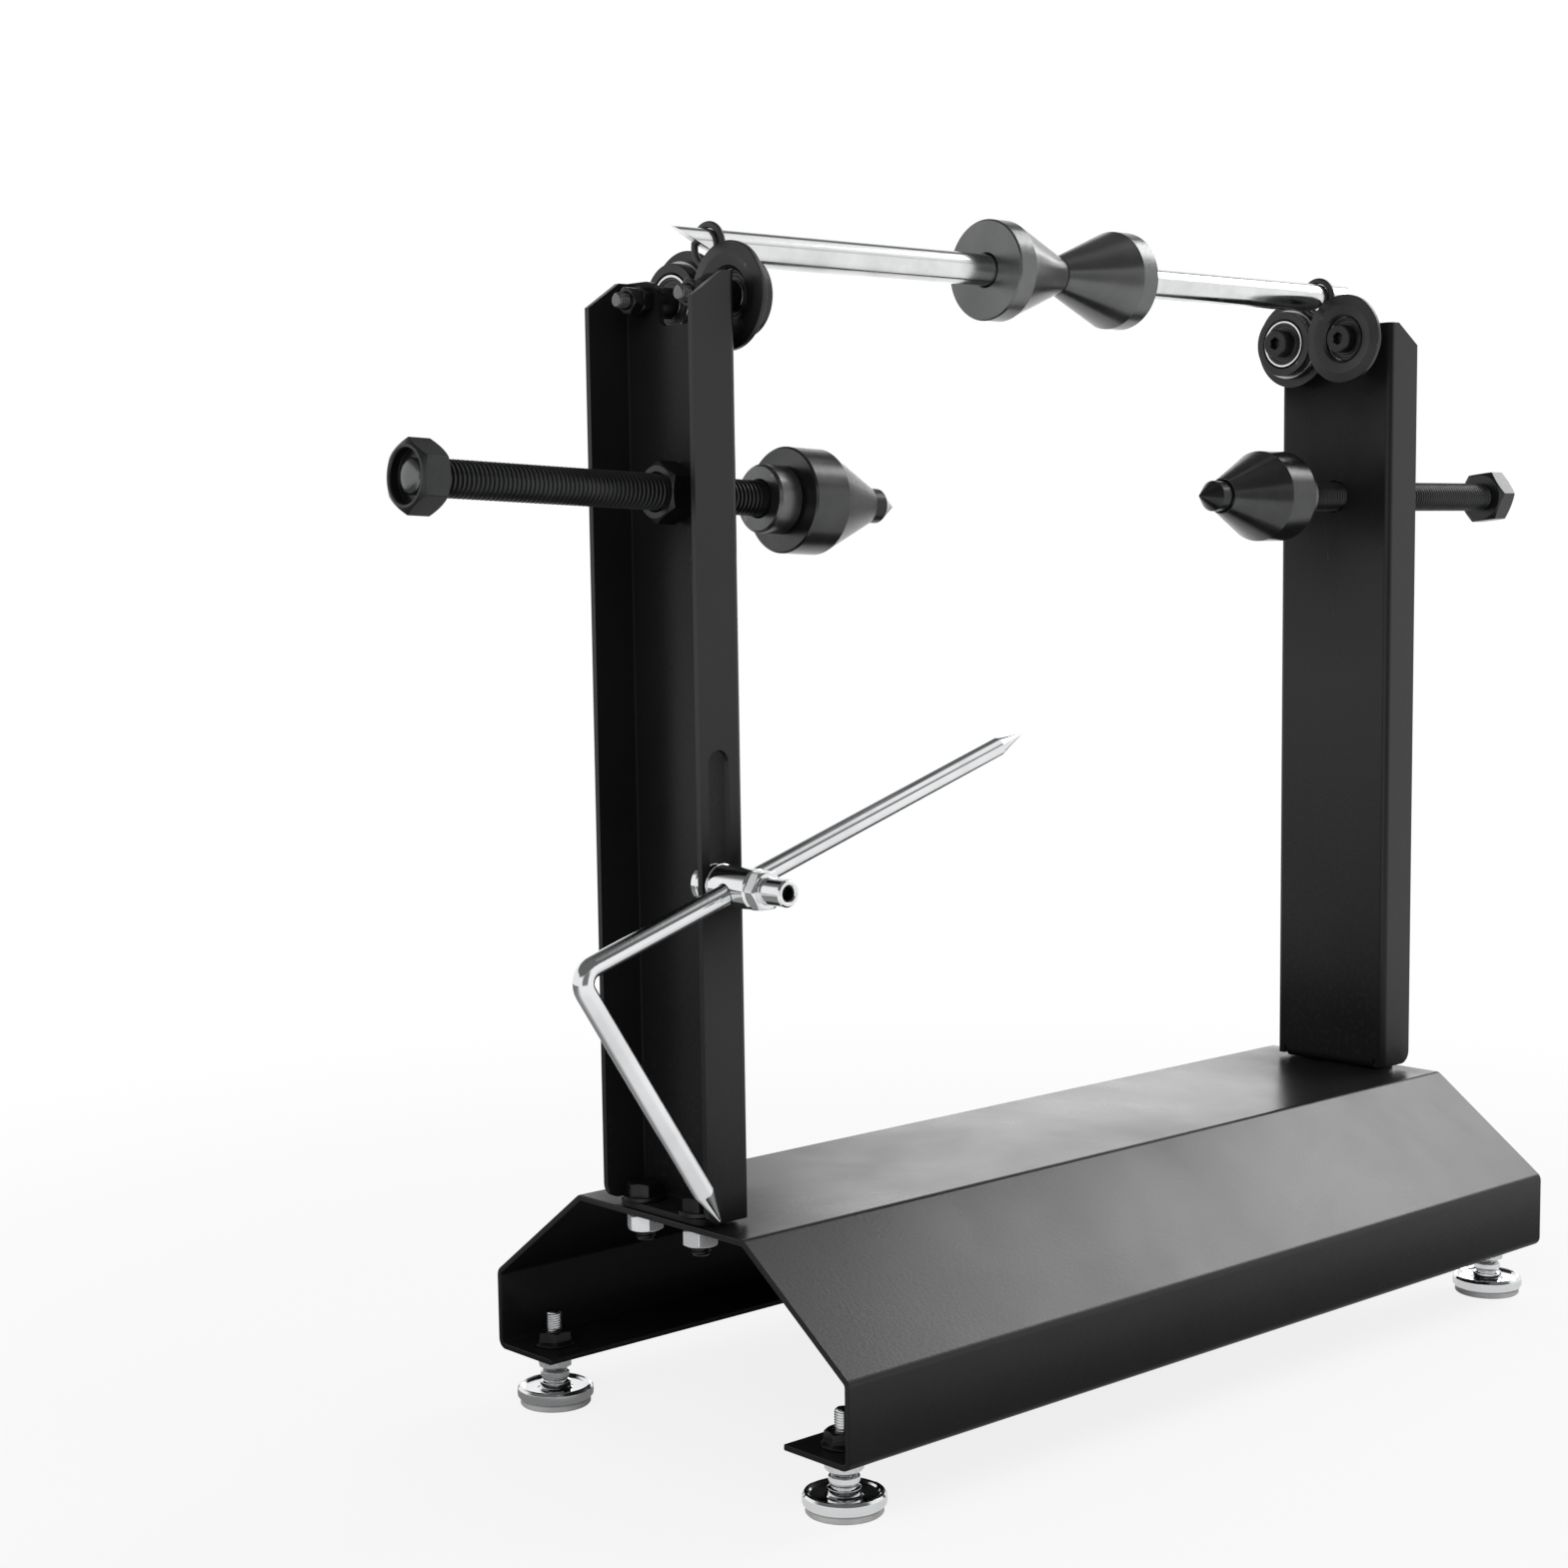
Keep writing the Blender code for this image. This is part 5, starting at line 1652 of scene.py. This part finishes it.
# %% The floor's paper
fade_start, fade_end, glow_near = 0.35, 0.95, 0.84
near_start, near_end, near_dim = 0.18, 0.60, 0.22
away_way, away_start, away_full, away_dim = (-0.74, 0.67, 0), 0.55, 0.90, 0.80
paper = bpy.data.materials.new("pale_paper")
paper.use_nodes = True
paper_tree = paper.node_tree
paper_shader = paper_tree.nodes["Principled BSDF"]
paper_shader.inputs["Base Color"].default_value = (0.86, 0.86, 0.86, 1)
paper_shader.inputs["Roughness"].default_value = 0.9
paper_shader.inputs["Specular IOR Level"].default_value = 0.1
paper_place = own_place(paper_tree)
paper_length = add_node(paper_tree, "ShaderNodeVectorMath", {0: paper_place}, operation="LENGTH")
paper_reach = paper_length.outputs["Value"]
paper_unit = add_node(paper_tree, "ShaderNodeVectorMath", {0: paper_place}, operation="NORMALIZE")
paper_turn = facing(paper_tree, paper_unit.outputs["Vector"], away_way)
under = ranged(paper_tree, paper_reach, near_start, near_end, near_dim, 0.0, smooth=True)
away = ranged(paper_tree, paper_turn, away_start, away_full, 0.0, away_dim, smooth=True)
paper_rays, paper_seen = light_path(paper_tree)
paper_dark = maths(paper_tree, "MAXIMUM", under, away)
paper_mirrored = maths(paper_tree, "MULTIPLY", paper_dark, paper_rays["Is Glossy Ray"])
paper_level = maths(paper_tree, "SUBTRACT", 1.0, paper_mirrored)
paper_glow = add_node(paper_tree, "ShaderNodeEmission", {"Color": paper_level, "Strength": 1.0})
glow_part = ranged(paper_tree, paper_reach, fade_start, fade_end, glow_near, 1.0, smooth=True)
paper_part = maths(paper_tree, "MULTIPLY", paper_seen, glow_part)
paper_links = {0: paper_part, 1: paper_shader.outputs[0], 2: paper_glow.outputs[0]}
paper_mix = add_node(paper_tree, "ShaderNodeMixShader", paper_links)
paper_out = paper_tree.nodes["Material Output"]
paper_tree.links.new(paper_mix.outputs[0], paper_out.inputs["Surface"])
floor_mesh.materials.append(paper)
print("made", paper.name)

# %% [markdown]
# ### The world, and what polished steel sees
#
# A soft even light fills the room. Bright metal only looks like metal when it has
# something dark to mirror as well, so the world that mirrors see is not all white: above
# the stand is a dim ceiling with one soft white opening, a little higher at the rear, and
# in front of it is the dim room. The direction in which a reflection looks gives these
# soft dark zones. The camera itself sees plain white.

# %% World
world = bpy.data.worlds.new("studio_world")
scene.world = world
world.use_nodes = True
world_tree = world.node_tree
soft_light = world_tree.nodes["Background"]
soft_light.inputs["Color"].default_value = (1, 1, 1, 1)
soft_light.inputs["Strength"].default_value = 0.50
scene.view_settings.view_transform = "Standard"
print("made", world.name)

# %% A dim room for reflections
ceiling_start, ceiling_full, ceiling_dim = 0.30, 0.46, 0.86
rear_full, rear_rise = 0.3, 0.13
opening_way, opening_start, opening_full = Vector((0.68, -0.27, 0.68)).normalized(), 0.88, 0.94
room_way, room_start, room_full = Vector((-0.35, -0.93, 0.0)).normalized(), 0.80, 0.93
room_dim = 0.80

world_way = add_node(world_tree, "ShaderNodeTexCoord").outputs["Generated"]
world_split = add_node(world_tree, "ShaderNodeSeparateXYZ", {0: world_way}).outputs
rear_lift = ranged(world_tree, world_split["Y"], 0.0, rear_full, 0.0, rear_rise, smooth=True)
height = maths(world_tree, "SUBTRACT", world_split["Z"], rear_lift)
ceiling = ranged(world_tree, height, ceiling_start, ceiling_full, 0.0, ceiling_dim, smooth=True)
opening = facing(world_tree, world_way, opening_way)
closed = ranged(world_tree, opening, opening_start, opening_full, 1.0, 0.0, smooth=True)
ceiling_part = maths(world_tree, "MULTIPLY", ceiling, closed)
room = facing(world_tree, world_way, room_way)
room_part = ranged(world_tree, room, room_start, room_full, 0.0, room_dim, smooth=True)
dim = maths(world_tree, "MAXIMUM", ceiling_part, room_part)
world_rays, world_seen = light_path(world_tree)
not_camera = maths(world_tree, "SUBTRACT", 1.0, world_rays["Is Camera Ray"])
seen_dim = maths(world_tree, "MULTIPLY", dim, not_camera)
level = maths(world_tree, "SUBTRACT", 1.0, seen_dim)
white_view = add_node(world_tree, "ShaderNodeBackground", {"Color": level, "Strength": 1.0})
world_links = {0: world_seen, 1: soft_light.outputs[0], 2: white_view.outputs[0]}
world_mix = add_node(world_tree, "ShaderNodeMixShader", world_links)
world_out = world_tree.nodes["World Output"]
world_tree.links.new(world_mix.outputs[0], world_out.inputs["Surface"])
print("world ready")

# %% [markdown]
# ### Lamps
#
# Two soft boxes stand on the right: a strong one, high up, is turned to the front of the
# base, and a weak one stands low at the rear. The third, on the left, only lifts the
# shadows. It is hidden from mirrors, so that it draws no second stripe on polished rods.

# %% Lamps
def soft_box(name, place, aim, width, height, power):
    """A rectangular lamp that faces a point."""
    lamp = bpy.data.lights.new(name, "AREA")
    lamp.shape = "RECTANGLE"
    lamp.size = width
    lamp.size_y = height
    lamp.energy = power
    obj = linked(name, lamp)
    obj.visible_camera = False
    way = (Vector(aim) - Vector(place)).to_track_quat("-Z", "Y")
    obj.matrix_world = placed(place, way.to_matrix().to_4x4())
    return obj


middle = (0, 0, 0.25)
base_front = (0.04, -0.085, 0.072)
soft_box("lamp_high_right", (1.65, -0.20, 1.42), base_front, 1.0, 0.9, 15)
soft_box("lamp_rear_right", (1.75, 1.35, 0.50), middle, 1.0, 0.5, 2.7)
fill = soft_box("lamp_left", (-1.6, -0.9, 1.5), middle, 1.3, 1.3, 10)
fill.visible_glossy = False
print("lamps ready")

# %% [markdown]
# ## Sizes
#
# The size of the finished look is printed beside the size of the solids, axis by axis.
# The finished look must stay the size of the solids.

# %% Sizes, and finish
look_low, look_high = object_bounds()
look_box = [list(look_low), list(look_high)]
for axis in range(3):
    cad_size = (cad_box[1][axis] - cad_box[0][axis]) * 1000
    look_size = (look_box[1][axis] - look_box[0][axis]) * 1000
    print("XYZ"[axis], round(cad_size, 1), round(look_size, 1))
